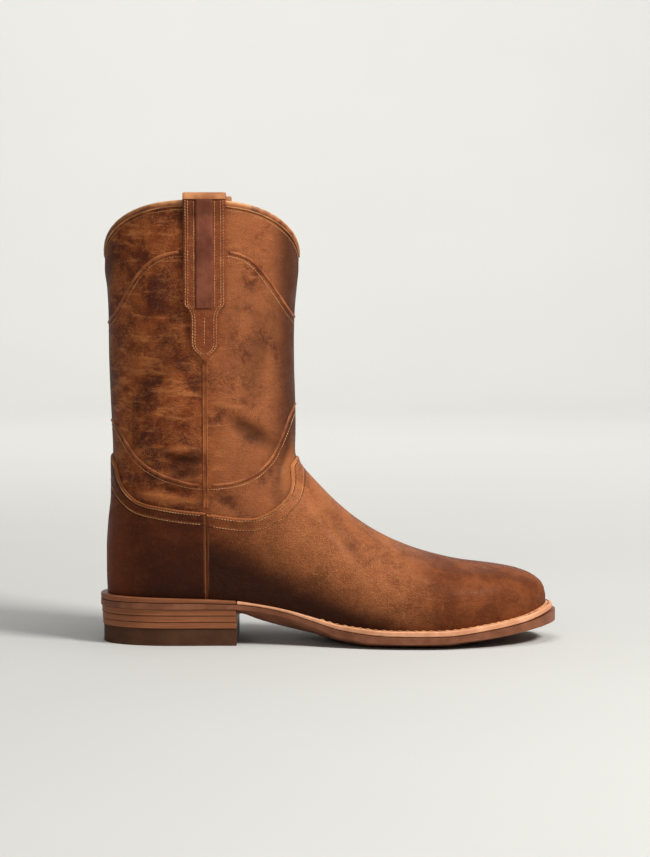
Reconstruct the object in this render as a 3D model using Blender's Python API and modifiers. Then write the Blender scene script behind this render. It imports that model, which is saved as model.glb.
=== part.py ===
"""Roper boot for the right foot: a pull-on leather boot on a low stacked heel.

The upper is worked out from one surface function: ribs cross the boot from the
feather line, or from the back of the shaft, up to the ridge line in front.
The same function gives the overlays, the raised seams, the straps and the sole.
Lengths run along +X from the back of the foot, heights along +Z from the floor.
The outer side of the foot looks to -Y and the inner side to +Y.
"""
import math
from collections import namedtuple

import bmesh
import bpy
from mathutils import Vector

# Foot and shaft
FOOT_LENGTH = 0.2903
BALL_WIDTH = 0.0905
HEEL_WIDTH = 0.0590
HEEL_ROUND = 0.0450
TOE_ROUND = 0.0750
TOE_BOX_HEIGHT = 0.0485
THROAT_HEIGHT = 0.1280
SHAFT_DEPTH = 0.1234
SHAFT_WIDTH = 0.0990
SHAFT_HEIGHT = 0.2915
SCALLOP_DEPTH = 0.0330
ANKLE_TOP = 0.1250
ANKLE_BOTTOM = 0.0350
FEATHER_BULGE = 0.0022
FEATHER_BULGE_RISE = 0.0120
HEEL_FULLNESS = 2.2
TOE_FULLNESS = 2.0
COLLAR_FULLNESS = 2.5
SHAFT_WIDEST_SHARE = 0.5

# Leathers
WALL = 0.0024
OVERLAY = 0.0013
RAISED_SEAM = 0.0011
FIT = 0.0003
OVERLAY_FIT = 0.0004

# Sole and heel
HEEL_SEAT = 0.0325
BALL_SEAT = 0.0123
TOE_SEAT = 0.0248
WELT_THICKNESS = 0.0033
INSOLE_RISE = 0.0008
INSOLE_EASE = 0.0014
WELT_MARGIN = 0.0060
WAIST_MARGIN = 0.0030
HEEL_MARGIN = 0.0062
TOE_EDGE_SWELL = 0.0022
TOE_SWELL_LENGTH = 0.0435
HEEL_LENGTH = 0.0917
HEEL_TAPER = 0.0020
HEEL_CAP_HEIGHT = 0.0114
HEEL_TOP = 0.0240
LIFT_COUNT = 3

# Trim
BINDING_REACH = 0.0030
BINDING_LEATHER = 0.0008
BINDING_EASE = 0.0006
BINDING_ROW_SHARE = 0.15
STRAP_WIDTH = 0.0278
STRAP_TAIL_WIDTH = 0.0186
STRAP_LEATHER = 0.0018
STRAP_POINT_HEIGHT = 0.1882
STRAP_TAIL_RISE = 0.0368
STRAP_INSIDE_DROP = 0.0480
STRAP_LOOP_RISE = 0.0028
PIPING_WIDTH = 0.0019
SEAM_WIDTH = 0.0036
SEAM_AT = 0.0660

# Fineness of the faceted surfaces, and the rib after which the ribs turn up the heel
RIB_STEPS = 12
FOOT_RIBS = 24
SHAFT_RIBS = 15
SOLE_STEPS = 26
FEATHER_STEPS = 22
STRAP_STEPS = 4
TURN_STEP = 0.02
HEEL_TURN_ROW = 10

# Patterns run past the boot on all sides
PATTERN_REACH = 0.0800
PATTERN_PAST_END = 0.0200

OUTER = -1
INNER = 1
SIDES = (("outer", OUTER), ("inner", INNER))

# The feather line in plan: place along the foot, the width the row follows,
# then the centre line and both half widths as shares of that width.
Plan = namedtuple("Plan", "along width centre outer inner")
PLAN = (
    Plan(0.000, HEEL_WIDTH, 0.000, 0.500, 0.500),
    Plan(0.155, HEEL_WIDTH, 0.000, 0.500, 0.500),
    Plan(0.251, HEEL_WIDTH, 0.000, 0.488, 0.468),
    Plan(0.338, HEEL_WIDTH, 0.008, 0.508, 0.407),
    Plan(0.417, BALL_WIDTH, 0.017, 0.365, 0.238),
    Plan(0.493, BALL_WIDTH, 0.022, 0.414, 0.265),
    Plan(0.568, BALL_WIDTH, 0.028, 0.475, 0.343),
    Plan(0.648, BALL_WIDTH, 0.033, 0.530, 0.425),
    Plan(0.734, BALL_WIDTH, 0.035, 0.541, 0.475),
    Plan(0.813, BALL_WIDTH, 0.044, 0.528, 0.462),
    Plan(0.878, BALL_WIDTH, 0.055, 0.516, 0.460),
    Plan(0.930, BALL_WIDTH, 0.061, 0.500, 0.478),
    Plan(1.000, BALL_WIDTH, 0.066, 0.497, 0.490),
)

# The seat of the upper above the floor: toe spring, ball, arch and heel.
Seat = namedtuple("Seat", "along height share")
SEAT = (
    Seat(0.000, HEEL_SEAT, 1.000),
    Seat(0.150, HEEL_SEAT, 0.978),
    Seat(0.290, HEEL_SEAT, 0.925),
    Seat(0.335, HEEL_SEAT, 0.870),
    Seat(0.407, HEEL_SEAT, 0.755),
    Seat(0.460, HEEL_SEAT, 0.634),
    Seat(0.538, BALL_SEAT, 1.230),
    Seat(0.645, BALL_SEAT, 1.010),
    Seat(0.700, BALL_SEAT, 1.000),
    Seat(0.770, BALL_SEAT, 1.030),
    Seat(0.850, BALL_SEAT, 1.240),
    Seat(0.940, TOE_SEAT, 0.780),
    Seat(1.000, TOE_SEAT, 1.000),
)

# Ribs of the foot, toe to heel: where the rib stands on the feather line, where
# it meets the ridge as a share of the way from throat to toe, the ridge height,
# and the rib's own shape: how high it is widest and how full its crown is.
Rib = namedtuple("Rib", "low ridge height share widest fullness")
FOOT_ROWS = (
    Rib(0.9995, 1.0000, TOE_BOX_HEIGHT, 0.600, 0.30, 2.7),
    Rib(0.992, 0.988, TOE_BOX_HEIGHT, 0.742, 0.30, 2.7),
    Rib(0.973, 0.947, TOE_BOX_HEIGHT, 0.860, 0.30, 2.7),
    Rib(0.940, 0.878, TOE_BOX_HEIGHT, 0.944, 0.30, 2.6),
    Rib(0.892, 0.788, TOE_BOX_HEIGHT, 1.000, 0.28, 2.5),
    Rib(0.827, 0.663, TOE_BOX_HEIGHT, 1.056, 0.26, 2.4),
    Rib(0.748, 0.516, THROAT_HEIGHT, 0.447, 0.24, 2.3),
    Rib(0.665, 0.381, THROAT_HEIGHT, 0.516, 0.22, 2.2),
    Rib(0.582, 0.285, THROAT_HEIGHT, 0.586, 0.24, 2.1),
    Rib(0.500, 0.207, THROAT_HEIGHT, 0.660, 0.28, 2.0),
    Rib(0.413, 0.144, THROAT_HEIGHT, 0.734, 0.34, 2.0),
    Rib(0.331, 0.095, THROAT_HEIGHT, 0.799, 0.40, 2.05),
    Rib(0.252, 0.057, THROAT_HEIGHT, 0.852, 0.44, 2.1),
    Rib(0.179, 0.031, THROAT_HEIGHT, 0.891, 0.46, 2.1),
    Rib(0.117, 0.016, THROAT_HEIGHT, 0.920, 0.48, 2.15),
    Rib(0.066, 0.008, THROAT_HEIGHT, 0.944, 0.50, 2.2),
    Rib(0.031, 0.004, THROAT_HEIGHT, 0.965, 0.50, 2.2),
    Rib(0.009, 0.001, THROAT_HEIGHT, 0.984, 0.50, 2.2),
    Rib(0.000, 0.000, THROAT_HEIGHT, 1.000, 0.50, 2.2),
)

# Rings of the shaft, heel to collar: both ends as shares of the shaft's depth,
# their heights as shares of the way up to the collar's dips, and how much of
# the scallop the ring already carries.
Ring = namedtuple("Ring", "back front back_up front_up scallop")
SHAFT_ROWS = (
    Ring(0.000, 1.000, 0.000, 0.000, 0.00),
    Ring(-0.004, 1.001, 0.060, 0.027, 0.00),
    Ring(-0.004, 1.003, 0.131, 0.062, 0.00),
    Ring(0.005, 1.005, 0.210, 0.107, 0.00),
    Ring(0.020, 1.006, 0.290, 0.157, 0.00),
    Ring(0.022, 1.005, 0.378, 0.222, 0.00),
    Ring(0.016, 1.003, 0.484, 0.306, 0.00),
    Ring(0.007, 0.999, 0.600, 0.421, 0.02),
    Ring(0.001, 0.998, 0.715, 0.559, 0.09),
    Ring(0.000, 1.002, 0.816, 0.697, 0.30),
    Ring(-0.007, 1.013, 0.896, 0.820, 0.58),
    Ring(-0.019, 1.023, 0.953, 0.919, 0.82),
    Ring(-0.016, 1.023, 1.000, 1.000, 1.00),
)

# Half width of the shaft up its height, as shares of SHAFT_HEIGHT and SHAFT_WIDTH.
Girth = namedtuple("Girth", "up half")
SHAFT_GIRTH = (
    Girth(0.10, 0.440),
    Girth(0.36, 0.455),
    Girth(0.48, 0.470),
    Girth(0.56, 0.485),
    Girth(0.65, 0.495),
    Girth(0.77, 0.500),
    Girth(1.00, 0.498),
)

# The outsole's edge and keel above the floor: the seat height each row follows,
# shares of it for the edge and the keel, and the flat share of its width.
Tread = namedtuple("Tread", "along height edge keel flat")
WAIST_ROWS = (
    Tread(0.310, HEEL_TOP, 1.000, 0.750, 0.0),
    Tread(0.335, HEEL_TOP, 0.965, 0.620, 0.0),
    Tread(0.370, HEEL_TOP, 0.890, 0.490, 0.0),
    Tread(0.425, HEEL_TOP, 0.740, 0.330, 0.0),
    Tread(0.468, HEEL_TOP, 0.570, 0.230, 0.1),
    Tread(0.494, BALL_SEAT, 0.870, 0.320, 0.2),
    Tread(0.528, BALL_SEAT, 0.585, 0.160, 0.3),
    Tread(0.566, BALL_SEAT, 0.463, 0.045, 0.5),
    Tread(0.600, BALL_SEAT, 0.350, 0.000, 0.6),
    Tread(0.680, BALL_SEAT, 0.293, 0.000, 0.6),
    Tread(0.765, BALL_SEAT, 0.330, 0.000, 0.6),
    Tread(0.811, BALL_SEAT, 0.439, 0.130, 0.6),
    Tread(0.880, TOE_SEAT, 0.286, 0.190, 0.6),
    Tread(0.948, TOE_SEAT, 0.411, 0.350, 0.6),
    Tread(1.000, TOE_SEAT, 0.530, 0.500, 0.6),
)

# Thickness of welt and rand along the foot, as shares of WELT_THICKNESS.
Layer = namedtuple("Layer", "along share")
WELT_LAYER = (
    Layer(0.00, 1.10),
    Layer(0.29, 0.66),
    Layer(0.34, 0.48),
    Layer(0.41, 0.60),
    Layer(0.50, 0.85),
    Layer(0.60, 1.00),
    Layer(1.00, 1.12),
)

# How far the sole's edge stands out from the feather line.
Margin = namedtuple("Margin", "along size share")
SOLE_MARGIN = (
    Margin(0.00, HEEL_MARGIN, 1.00),
    Margin(0.10, HEEL_MARGIN, 0.78),
    Margin(0.29, HEEL_MARGIN, 0.72),
    Margin(0.40, WAIST_MARGIN, 1.00),
    Margin(0.48, WAIST_MARGIN, 1.25),
    Margin(0.58, WELT_MARGIN, 0.95),
    Margin(1.00, WELT_MARGIN, 1.00),
)

# Side lines of the overlays and seams: along in shares of SHAFT_DEPTH, up in
# shares of THROAT_HEIGHT for the overlays and of SHAFT_HEIGHT for the piping.
Spot = namedtuple("Spot", "along up")
VAMP_TOP = (
    Spot(0.530, 0.692), Spot(0.640, 0.676), Spot(0.735, 0.665), Spot(0.800, 0.668),
    Spot(0.850, 0.687), Spot(0.900, 0.714), Spot(0.946, 0.754), Spot(0.972, 0.790),
    Spot(0.984, 0.848), Spot(0.978, 0.918), Spot(0.999, 0.951), Spot(1.100, 1.060),
)
COUNTER_TOP = (
    Spot(-0.100, 1.070), Spot(0.014, 0.983), Spot(0.033, 0.957), Spot(0.060, 0.915),
    Spot(0.066, 0.883), Spot(0.090, 0.823), Spot(0.142, 0.770), Spot(0.202, 0.741),
    Spot(0.322, 0.720), Spot(0.424, 0.706), Spot(0.545, 0.695),
)
UPPER_ARCH = (
    Spot(-0.100, 0.670), Spot(-0.020, 0.712), Spot(0.000, 0.727), Spot(0.041, 0.746),
    Spot(0.087, 0.774), Spot(0.132, 0.808), Spot(0.184, 0.839), Spot(0.251, 0.866),
    Spot(0.318, 0.880), Spot(0.407, 0.887), Spot(0.527, 0.889), Spot(0.648, 0.887),
    Spot(0.703, 0.883), Spot(0.767, 0.871), Spot(0.823, 0.849), Spot(0.878, 0.818),
    Spot(0.934, 0.783), Spot(0.981, 0.752), Spot(1.010, 0.735), Spot(1.100, 0.680),
)
LOWER_ARCH = (
    Spot(-0.100, 0.540), Spot(0.002, 0.510), Spot(0.055, 0.495), Spot(0.102, 0.465),
    Spot(0.159, 0.430), Spot(0.215, 0.409), Spot(0.285, 0.392), Spot(0.350, 0.382),
    Spot(0.446, 0.371), Spot(0.536, 0.367), Spot(0.624, 0.369), Spot(0.701, 0.374),
    Spot(0.789, 0.388), Spot(0.869, 0.418), Spot(0.908, 0.446), Spot(0.947, 0.484),
    Spot(0.976, 0.517), Spot(1.004, 0.542), Spot(1.015, 0.555), Spot(1.100, 0.600),
)

# Columns across a sole layer, as shares of its half width: level or keeled below.
LEVEL = (-1.0, 0.0, 1.0)
KEELED = (-1.0, -0.8, -0.55, 0.0, 0.55, 0.8, 1.0)

# Outline of the strap from its point up to the wide part: how far up the tail,
# then the half width as shares of half the tail and of the way out to half the strap.
Strap = namedtuple("Strap", "up tail wide")
STRAP_OUTLINE = (
    Strap(0.000, 0.10, 0.00),
    Strap(0.120, 0.52, 0.00),
    Strap(0.260, 0.97, 0.00),
    Strap(0.520, 1.00, 0.00),
    Strap(0.760, 1.00, 0.03),
    Strap(0.860, 1.00, 0.20),
    Strap(0.950, 1.00, 0.62),
    Strap(1.000, 1.00, 1.00),
)

LEATHER_BROWN = (0.235, 0.085, 0.036)
LEATHER_DARK = (0.140, 0.046, 0.022)
TRIM_TAN = (0.480, 0.235, 0.095)
SOLE_TAN = (0.370, 0.160, 0.075)
STACK_BROWN = (0.300, 0.120, 0.058)
INSOLE_BUFF = (0.560, 0.400, 0.250)
RUBBER_DARK = (0.075, 0.040, 0.026)


class Smooth:
    """A smooth curve through its rows that never swings past them."""

    def __init__(self, places, values):
        self.places = list(places)
        self.values = list(values)
        last = len(self.places) - 1
        self.steps = [self.places[i + 1] - self.places[i] for i in range(last)]
        self.rises = [(self.values[i + 1] - self.values[i]) / self.steps[i] for i in range(last)]
        self.slopes = [self.rises[0]]
        for left, right in zip(self.rises, self.rises[1:]):
            level = left * right <= 0.0
            self.slopes.append(0.0 if level else 2.0 * left * right / (left + right))
        self.slopes.append(self.rises[-1])

    def __call__(self, place):
        place = min(max(place, self.places[0]), self.places[-1])
        i = 0
        while i < len(self.steps) - 1 and place > self.places[i + 1]:
            i += 1
        step = self.steps[i]
        q = (place - self.places[i]) / step
        start, end = self.values[i], self.values[i + 1]
        ease = q * q * (3.0 - 2.0 * q)
        bend_in = q * (1.0 - q) ** 2 * step * self.slopes[i]
        bend_out = q * q * (1.0 - q) * step * self.slopes[i + 1]
        return start + (end - start) * ease + bend_in - bend_out


def column(rows, place, value):
    """Smooth curve of one column of a table over another."""
    pairs = sorted((place(row), value(row)) for row in rows)
    return Smooth([p for p, v in pairs], [v for p, v in pairs])


def by_row(rows, value):
    """Smooth curve of one column over the number of its row."""
    return Smooth(range(len(rows)), [value(row) for row in rows])


plan_centre = column(PLAN, lambda r: r.along, lambda r: r.centre * r.width)
plan_outer = column(PLAN, lambda r: r.along, lambda r: r.outer * r.width)
plan_inner = column(PLAN, lambda r: r.along, lambda r: r.inner * r.width)
seat_share = column(SEAT, lambda r: r.along, lambda r: r.share * r.height)
shaft_half = column(SHAFT_GIRTH, lambda r: r.up * SHAFT_HEIGHT, lambda r: r.half * SHAFT_WIDTH)
welt_layer = column(WELT_LAYER, lambda r: r.along, lambda r: r.share * WELT_THICKNESS)
sole_margin = column(SOLE_MARGIN, lambda r: r.along, lambda r: r.share * r.size)
tread_edge = column(WAIST_ROWS, lambda r: r.along, lambda r: r.edge * r.height)
tread_keel = column(WAIST_ROWS, lambda r: r.along, lambda r: r.keel * r.height)
tread_flat = column(WAIST_ROWS, lambda r: r.along, lambda r: r.flat)

DIP_HEIGHT = SHAFT_HEIGHT - SCALLOP_DEPTH
HEEL_BREAST = HEEL_LENGTH - HEEL_MARGIN


def seat_height(x):
    """Height of the upper's lower edge above the floor."""
    return seat_share(x / FOOT_LENGTH)


def quadrant(share, fullness):
    """Height of a rounded corner: 0 at its start and 1 once share reaches 1."""
    share = min(max(share, 0.0), 1.0)
    return (1.0 - (1.0 - share) ** fullness) ** (1.0 / fullness)


def smooth_step(share):
    share = min(max(share, 0.0), 1.0)
    return share * share * (3.0 - 2.0 * share)


def feather_half(x, side):
    """Half width of the feather line at x, rounded at heel and toe."""
    along = x / FOOT_LENGTH
    half = plan_outer(along) if side == OUTER else plan_inner(along)
    heel = quadrant(x / HEEL_ROUND, HEEL_FULLNESS)
    toe = quadrant((FOOT_LENGTH - x) / TOE_ROUND, TOE_FULLNESS)
    return half * heel * toe


Section = namedtuple("Section", "low high widest fullness lift ends")


def foot_section(row):
    """Rib of the foot at a fractional row of FOOT_ROWS."""
    x = FOOT_LENGTH * foot_low(row)
    high_x = SHAFT_DEPTH + (FOOT_LENGTH - SHAFT_DEPTH) * foot_ridge(row)
    ends = smooth_step((row - HEEL_TURN_ROW) / (len(FOOT_ROWS) - 1 - HEEL_TURN_ROW))
    low = (x, seat_height(x))
    return Section(low, (high_x, foot_height(row)), foot_widest(row), foot_fullness(row), 0.0, ends)


foot_low = by_row(FOOT_ROWS, lambda r: r.low)
foot_ridge = by_row(FOOT_ROWS, lambda r: r.ridge)
foot_height = by_row(FOOT_ROWS, lambda r: r.height * r.share)
foot_widest = by_row(FOOT_ROWS, lambda r: r.widest)
foot_fullness = by_row(FOOT_ROWS, lambda r: r.fullness)
ring_back = by_row(SHAFT_ROWS, lambda r: r.back * SHAFT_DEPTH)
ring_front = by_row(SHAFT_ROWS, lambda r: r.front * SHAFT_DEPTH)
ring_back_up = by_row(SHAFT_ROWS, lambda r: HEEL_SEAT + r.back_up * (DIP_HEIGHT - HEEL_SEAT))
ring_front_up = by_row(SHAFT_ROWS, lambda r: THROAT_HEIGHT + r.front_up * (DIP_HEIGHT - THROAT_HEIGHT))
ring_lift = by_row(SHAFT_ROWS, lambda r: r.scallop * SCALLOP_DEPTH)


def shaft_section(row):
    """Ring of the shaft at a fractional row of SHAFT_ROWS."""
    low = (ring_back(row), ring_back_up(row))
    high = (ring_front(row), ring_front_up(row))
    return Section(low, high, SHAFT_WIDEST_SHARE, HEEL_FULLNESS, ring_lift(row), 1.0)


# Back and front of the boot at a height
back_line = column(SHAFT_ROWS, lambda r: HEEL_SEAT + r.back_up * (DIP_HEIGHT - HEEL_SEAT),
                   lambda r: r.back * SHAFT_DEPTH)
front_line = column(SHAFT_ROWS, lambda r: THROAT_HEIGHT + r.front_up * (DIP_HEIGHT - THROAT_HEIGHT),
                    lambda r: r.front * SHAFT_DEPTH)


def body_half(x, z, side):
    """Half width before the crown closes it: foot below, shaft above, blended at the ankle."""
    along = x / FOOT_LENGTH
    above = smooth_step((z - ANKLE_BOTTOM) / (ANKLE_TOP - ANKLE_BOTTOM))
    rise = min(max((z - seat_height(x)) / FEATHER_BULGE_RISE, 0.0), 1.0)
    foot = plan_outer(along) if side == OUTER else plan_inner(along)
    foot += FEATHER_BULGE * rise * (2.0 - rise)
    half = foot + (shaft_half(z) - foot) * above
    round_length = HEEL_ROUND + (0.5 * SHAFT_DEPTH - HEEL_ROUND) * above
    heel = quadrant((x - back_line(z)) / round_length, HEEL_FULLNESS)
    toe = quadrant((FOOT_LENGTH - x) / TOE_ROUND, TOE_FULLNESS)
    return half * heel * toe


def scallop(share):
    """Rise of the collar between its dips in front and behind."""
    return math.sqrt(max(0.0, 1.0 - abs(2.0 * share - 1.0) ** COLLAR_FULLNESS))


def surface_point(section, t, side):
    """Point of the upper's outer surface: t runs from the feather or back up to the ridge."""
    crowded_high = math.sin(0.5 * math.pi * t)
    crowded_both = 0.5 * (1.0 - math.cos(math.pi * t))
    share = crowded_high + (crowded_both - crowded_high) * section.ends
    x = section.low[0] + (section.high[0] - section.low[0]) * share
    flat_z = section.low[1] + (section.high[1] - section.low[1]) * share
    z = flat_z + section.lift * scallop(share)
    crown = quadrant((1.0 - share) / (1.0 - section.widest), section.fullness)
    above = smooth_step((z - ANKLE_BOTTOM) / (ANKLE_TOP - ANKLE_BOTTOM))
    centre = plan_centre(x / FOOT_LENGTH) * (1.0 - above)
    return Vector((x, centre + side * body_half(x, z, side) * crown, z))


def foot_sections():
    last = len(FOOT_ROWS) - 1
    return [foot_section(last * i / FOOT_RIBS) for i in range(FOOT_RIBS + 1)]


def shaft_sections():
    last = len(SHAFT_ROWS) - 1
    return [shaft_section(last * i / SHAFT_RIBS) for i in range(1, SHAFT_RIBS + 1)]


def section_ring(section, closed):
    """Points of one rib, from the outer feather over the ridge to the inner one."""
    up = [surface_point(section, i / RIB_STEPS, OUTER) for i in range(RIB_STEPS + 1)]
    down = [surface_point(section, i / RIB_STEPS, INNER) for i in range(RIB_STEPS - 1, -1, -1)]
    return up + (down[:-1] if closed else down)


def form_surface(offset):
    """Open surface of the whole upper, moved outwards by offset, as a bmesh."""
    bm = bmesh.new()
    ribs = [[bm.verts.new(p) for p in section_ring(s, False)] for s in foot_sections()[:-1]]
    heel = foot_sections()[-1]
    rings = [[bm.verts.new(p) for p in section_ring(s, True)] for s in [heel] + shaft_sections()]
    for low, high in zip(ribs, ribs[1:]):
        for i in range(len(low) - 1):
            bm.faces.new((low[i], low[i + 1], high[i + 1], high[i]))
    turn = rings[0] + [rings[0][0]]
    for i in range(len(turn) - 1):
        bm.faces.new((ribs[-1][i], ribs[-1][i + 1], turn[i + 1], turn[i]))
    for low, high in zip(rings, rings[1:]):
        count = len(low)
        for i in range(count):
            after = (i + 1) % count
            bm.faces.new((low[i], low[after], high[after], high[i]))
    toe = ribs[0]
    for i in range(RIB_STEPS):
        ends = [toe[i], toe[-1 - i], toe[-2 - i], toe[i + 1]]
        bm.faces.new([v for k, v in enumerate(ends) if v not in ends[:k]])
    bmesh.ops.recalc_face_normals(bm, faces=bm.faces)
    shaft_face = max(bm.faces, key=lambda f: -f.calc_center_median().y)
    if shaft_face.normal.y > 0.0:
        bmesh.ops.reverse_faces(bm, faces=bm.faces)
    bmesh.ops.triangulate(bm, faces=bm.faces, quad_method="SHORT_EDGE")
    bm.normal_update()
    moves = [(v, v.normal * offset) for v in bm.verts]
    for vert, move in moves:
        vert.co += move
    return bm


def clear_scene():
    for item in list(bpy.data.objects):
        bpy.data.objects.remove(item, do_unlink=True)


def collection(name):
    made = bpy.data.collections.new(name)
    bpy.context.scene.collection.children.link(made)
    return made


def material(name, colour, roughness):
    made = bpy.data.materials.new(name)
    made.use_nodes = True
    shader = made.node_tree.nodes["Principled BSDF"]
    shader.inputs["Base Color"].default_value = (*colour, 1.0)
    shader.inputs["Roughness"].default_value = roughness
    shader.inputs["Metallic"].default_value = 0.0
    return made


def add_piece(name, bm, colour, roughness):
    """One named sub-part with a material of its own, under the boot's empty."""
    mesh = bpy.data.meshes.new(name)
    bm.to_mesh(mesh)
    bm.free()
    mesh.shade_smooth()
    mesh.set_sharp_from_angle(angle=math.radians(35.0))
    mesh.materials.append(material(name, colour, roughness))
    piece = bpy.data.objects.new(name, mesh)
    parts.objects.link(piece)
    piece.parent = boot
    return piece


def thicken(piece, thickness, outwards):
    solid = piece.modifiers.new("thickness", "SOLIDIFY")
    solid.thickness = thickness
    solid.offset = 1.0 if outwards else -1.0
    solid.use_even_offset = True


def keep_inside(piece, outline, low_y, high_y):
    """Keep only what lies inside an outline of the side view, between two depths."""
    bm = bmesh.new()
    face = bm.faces.new([bm.verts.new((x, low_y, z)) for x, z in outline])
    grown = bmesh.ops.extrude_face_region(bm, geom=[face])
    moved = [v for v in grown["geom"] if isinstance(v, bmesh.types.BMVert)]
    bmesh.ops.translate(bm, verts=moved, vec=(0.0, high_y - low_y, 0.0))
    bmesh.ops.recalc_face_normals(bm, faces=bm.faces)
    mesh = bpy.data.meshes.new(piece.name + "_pattern")
    bm.to_mesh(mesh)
    bm.free()
    cutter = bpy.data.objects.new(piece.name + "_pattern", mesh)
    cutters.objects.link(cutter)
    cutter.parent = boot
    cutter.hide_render = True
    cutter.display_type = "WIRE"
    cut = piece.modifiers.new("pattern", "BOOLEAN")
    cut.operation = "INTERSECT"
    cut.object = cutter


def side_line(spots, height):
    """Points of a side line at real size."""
    return [(s.along * SHAFT_DEPTH, s.up * height) for s in spots]


def curve_through(points, steps):
    """Rounded line through points, with a few steps in each stretch."""
    ends = [points[0]] + points + [points[-1]]
    line = []
    for a, b, c, d in zip(ends, ends[1:], ends[2:], ends[3:]):
        for k in range(steps):
            q = k / steps
            line.append(tuple(
                b[i] + 0.5 * (c[i] - a[i]) * q + (a[i] - 2.5 * b[i] + 2.0 * c[i] - 0.5 * d[i]) * q * q
                + 0.5 * (3.0 * b[i] - a[i] - 3.0 * c[i] + d[i]) * q ** 3 for i in (0, 1)))
    line.append(points[-1])
    return line


def feather_outline(start, stop):
    """The upper's lower edge in the side view, from start to stop."""
    xs = [start + (stop - start) * i / FEATHER_STEPS for i in range(FEATHER_STEPS + 1)]
    return [(x, seat_height(x) + FIT) for x in xs]


def make_upper():
    piece = add_piece("upper", form_surface(0.0), LEATHER_BROWN, 0.45)
    thicken(piece, WALL, False)


def make_overlays():
    seam = SEAM_AT
    vamp = add_piece("vamp", form_surface(OVERLAY_FIT), LEATHER_DARK, 0.42)
    thicken(vamp, OVERLAY, True)
    top = [p for p in curve_through(side_line(VAMP_TOP, THROAT_HEIGHT), 2) if p[0] > seam + FIT]
    past_toe = FOOT_LENGTH + PATTERN_PAST_END
    outline = [(seam + FIT, top[0][1])] + top + [(past_toe, top[-1][1])]
    outline += feather_outline(past_toe, seam + FIT)
    keep_inside(vamp, outline, -PATTERN_REACH, PATTERN_REACH)
    counter = add_piece("counter", form_surface(OVERLAY_FIT), LEATHER_DARK, 0.42)
    thicken(counter, OVERLAY, True)
    top = [p for p in curve_through(side_line(COUNTER_TOP, THROAT_HEIGHT), 2) if p[0] < seam - FIT]
    behind = -PATTERN_PAST_END
    outline = [(behind, top[0][1])] + top + [(seam - FIT, top[-1][1])]
    outline += feather_outline(seam - FIT, behind)
    keep_inside(counter, outline, -PATTERN_REACH, PATTERN_REACH)


def stroke(line, width):
    """Outline of a strip of the given width along a line."""
    left, right = [], []
    for i, (x, z) in enumerate(line):
        before = line[max(i - 1, 0)]
        after = line[min(i + 1, len(line) - 1)]
        run = Vector((after[0] - before[0], after[1] - before[1])).normalized()
        left.append((x - run.y * 0.5 * width, z + run.x * 0.5 * width))
        right.append((x + run.y * 0.5 * width, z - run.x * 0.5 * width))
    return left + right[::-1]


def make_piping(name, spots, clear_half):
    """A raised line round the shaft, in a front and a back length that stop at the side trim."""
    line = side_line(spots, SHAFT_HEIGHT)
    lengths = (("front", [p for p in line if p[0] > SEAM_AT + clear_half]),
               ("back", [p for p in line if p[0] < SEAM_AT - clear_half]))
    for end, run in lengths:
        piece = add_piece("%s_%s" % (name, end), form_surface(OVERLAY_FIT), TRIM_TAN, 0.5)
        thicken(piece, RAISED_SEAM, True)
        keep_inside(piece, stroke(run, PIPING_WIDTH), -PATTERN_REACH, PATTERN_REACH)


def make_side_seams():
    """A raised strip on each side, from under the strap's point to the vamp."""
    top = STRAP_POINT_HEIGHT - 3.0 * FIT
    bottom = COUNTER_TOP[-2].up * THROAT_HEIGHT + 2.0 * FIT
    half = 0.5 * SEAM_WIDTH
    back, front = SEAM_AT - half, SEAM_AT + half
    outline = [(back, bottom), (front, bottom), (front, top), (back, top)]
    for name, side in SIDES:
        piece = add_piece("side_seam_" + name, form_surface(OVERLAY_FIT), TRIM_TAN, 0.5)
        thicken(piece, RAISED_SEAM, True)
        keep_inside(piece, outline, *sorted((0.0, side * PATTERN_REACH)))


def sweep(rings, closed):
    """Solid through equal rings of points, closed on itself or capped at both ends."""
    bm = bmesh.new()
    loops = [[bm.verts.new(p) for p in ring] for ring in rings]
    count = len(loops[0])
    pairs = list(zip(loops, loops[1:]))
    if closed:
        pairs.append((loops[-1], loops[0]))
    else:
        bm.faces.new(loops[0][::-1])
        bm.faces.new(loops[-1])
    for low, high in pairs:
        for i in range(count):
            after = (i + 1) % count
            bm.faces.new((low[i], low[after], high[after], high[i]))
    bmesh.ops.recalc_face_normals(bm, faces=bm.faces)
    return bm


def binding_section():
    """Profile of the binding: outwards and downwards from the rim, once round."""
    ease = BINDING_EASE
    face = ease + BINDING_LEATHER
    inside = -WALL - ease
    lining = inside - BINDING_LEATHER
    rounded = 0.7 * BINDING_LEATHER
    return ((face, BINDING_REACH), (face, -ease), (face - rounded, -face), (inside + ease, -face),
            (lining, -ease), (lining, BINDING_REACH), (inside, BINDING_REACH), (inside, -ease),
            (ease, -ease), (ease, BINDING_REACH))


def make_binding():
    """Leather folded over the collar's edge, down both faces of the wall."""
    section = binding_section()
    collar = shaft_sections()[-1]
    below = shaft_section(len(SHAFT_ROWS) - 1 - BINDING_ROW_SHARE)
    edge = section_ring(collar, True)
    under = section_ring(below, True)
    count = len(edge)
    rings = []
    for i, point in enumerate(edge):
        along = (edge[(i + 1) % count] - edge[i - 1]).normalized()
        down = under[i] - point
        down = (down - along * down.dot(along)).normalized()
        out = along.cross(down).normalized()
        if out.dot(point - Vector((0.5 * SHAFT_DEPTH, 0.0, point.z))) < 0.0:
            out = -out
        rings.append([point + out * o + down * d for o, d in section])
    add_piece("collar_binding", sweep(rings, True), TRIM_TAN, 0.5)


def shaft_side(x, z):
    """Distance of the shaft's outer surface from the middle plane, near its widest part."""
    front = front_line(z)
    back = back_line(z)
    crown = quadrant((front - x) / (front - back) / (1.0 - SHAFT_WIDEST_SHARE), HEEL_FULLNESS)
    return body_half(x, z, OUTER) * crown


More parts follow.
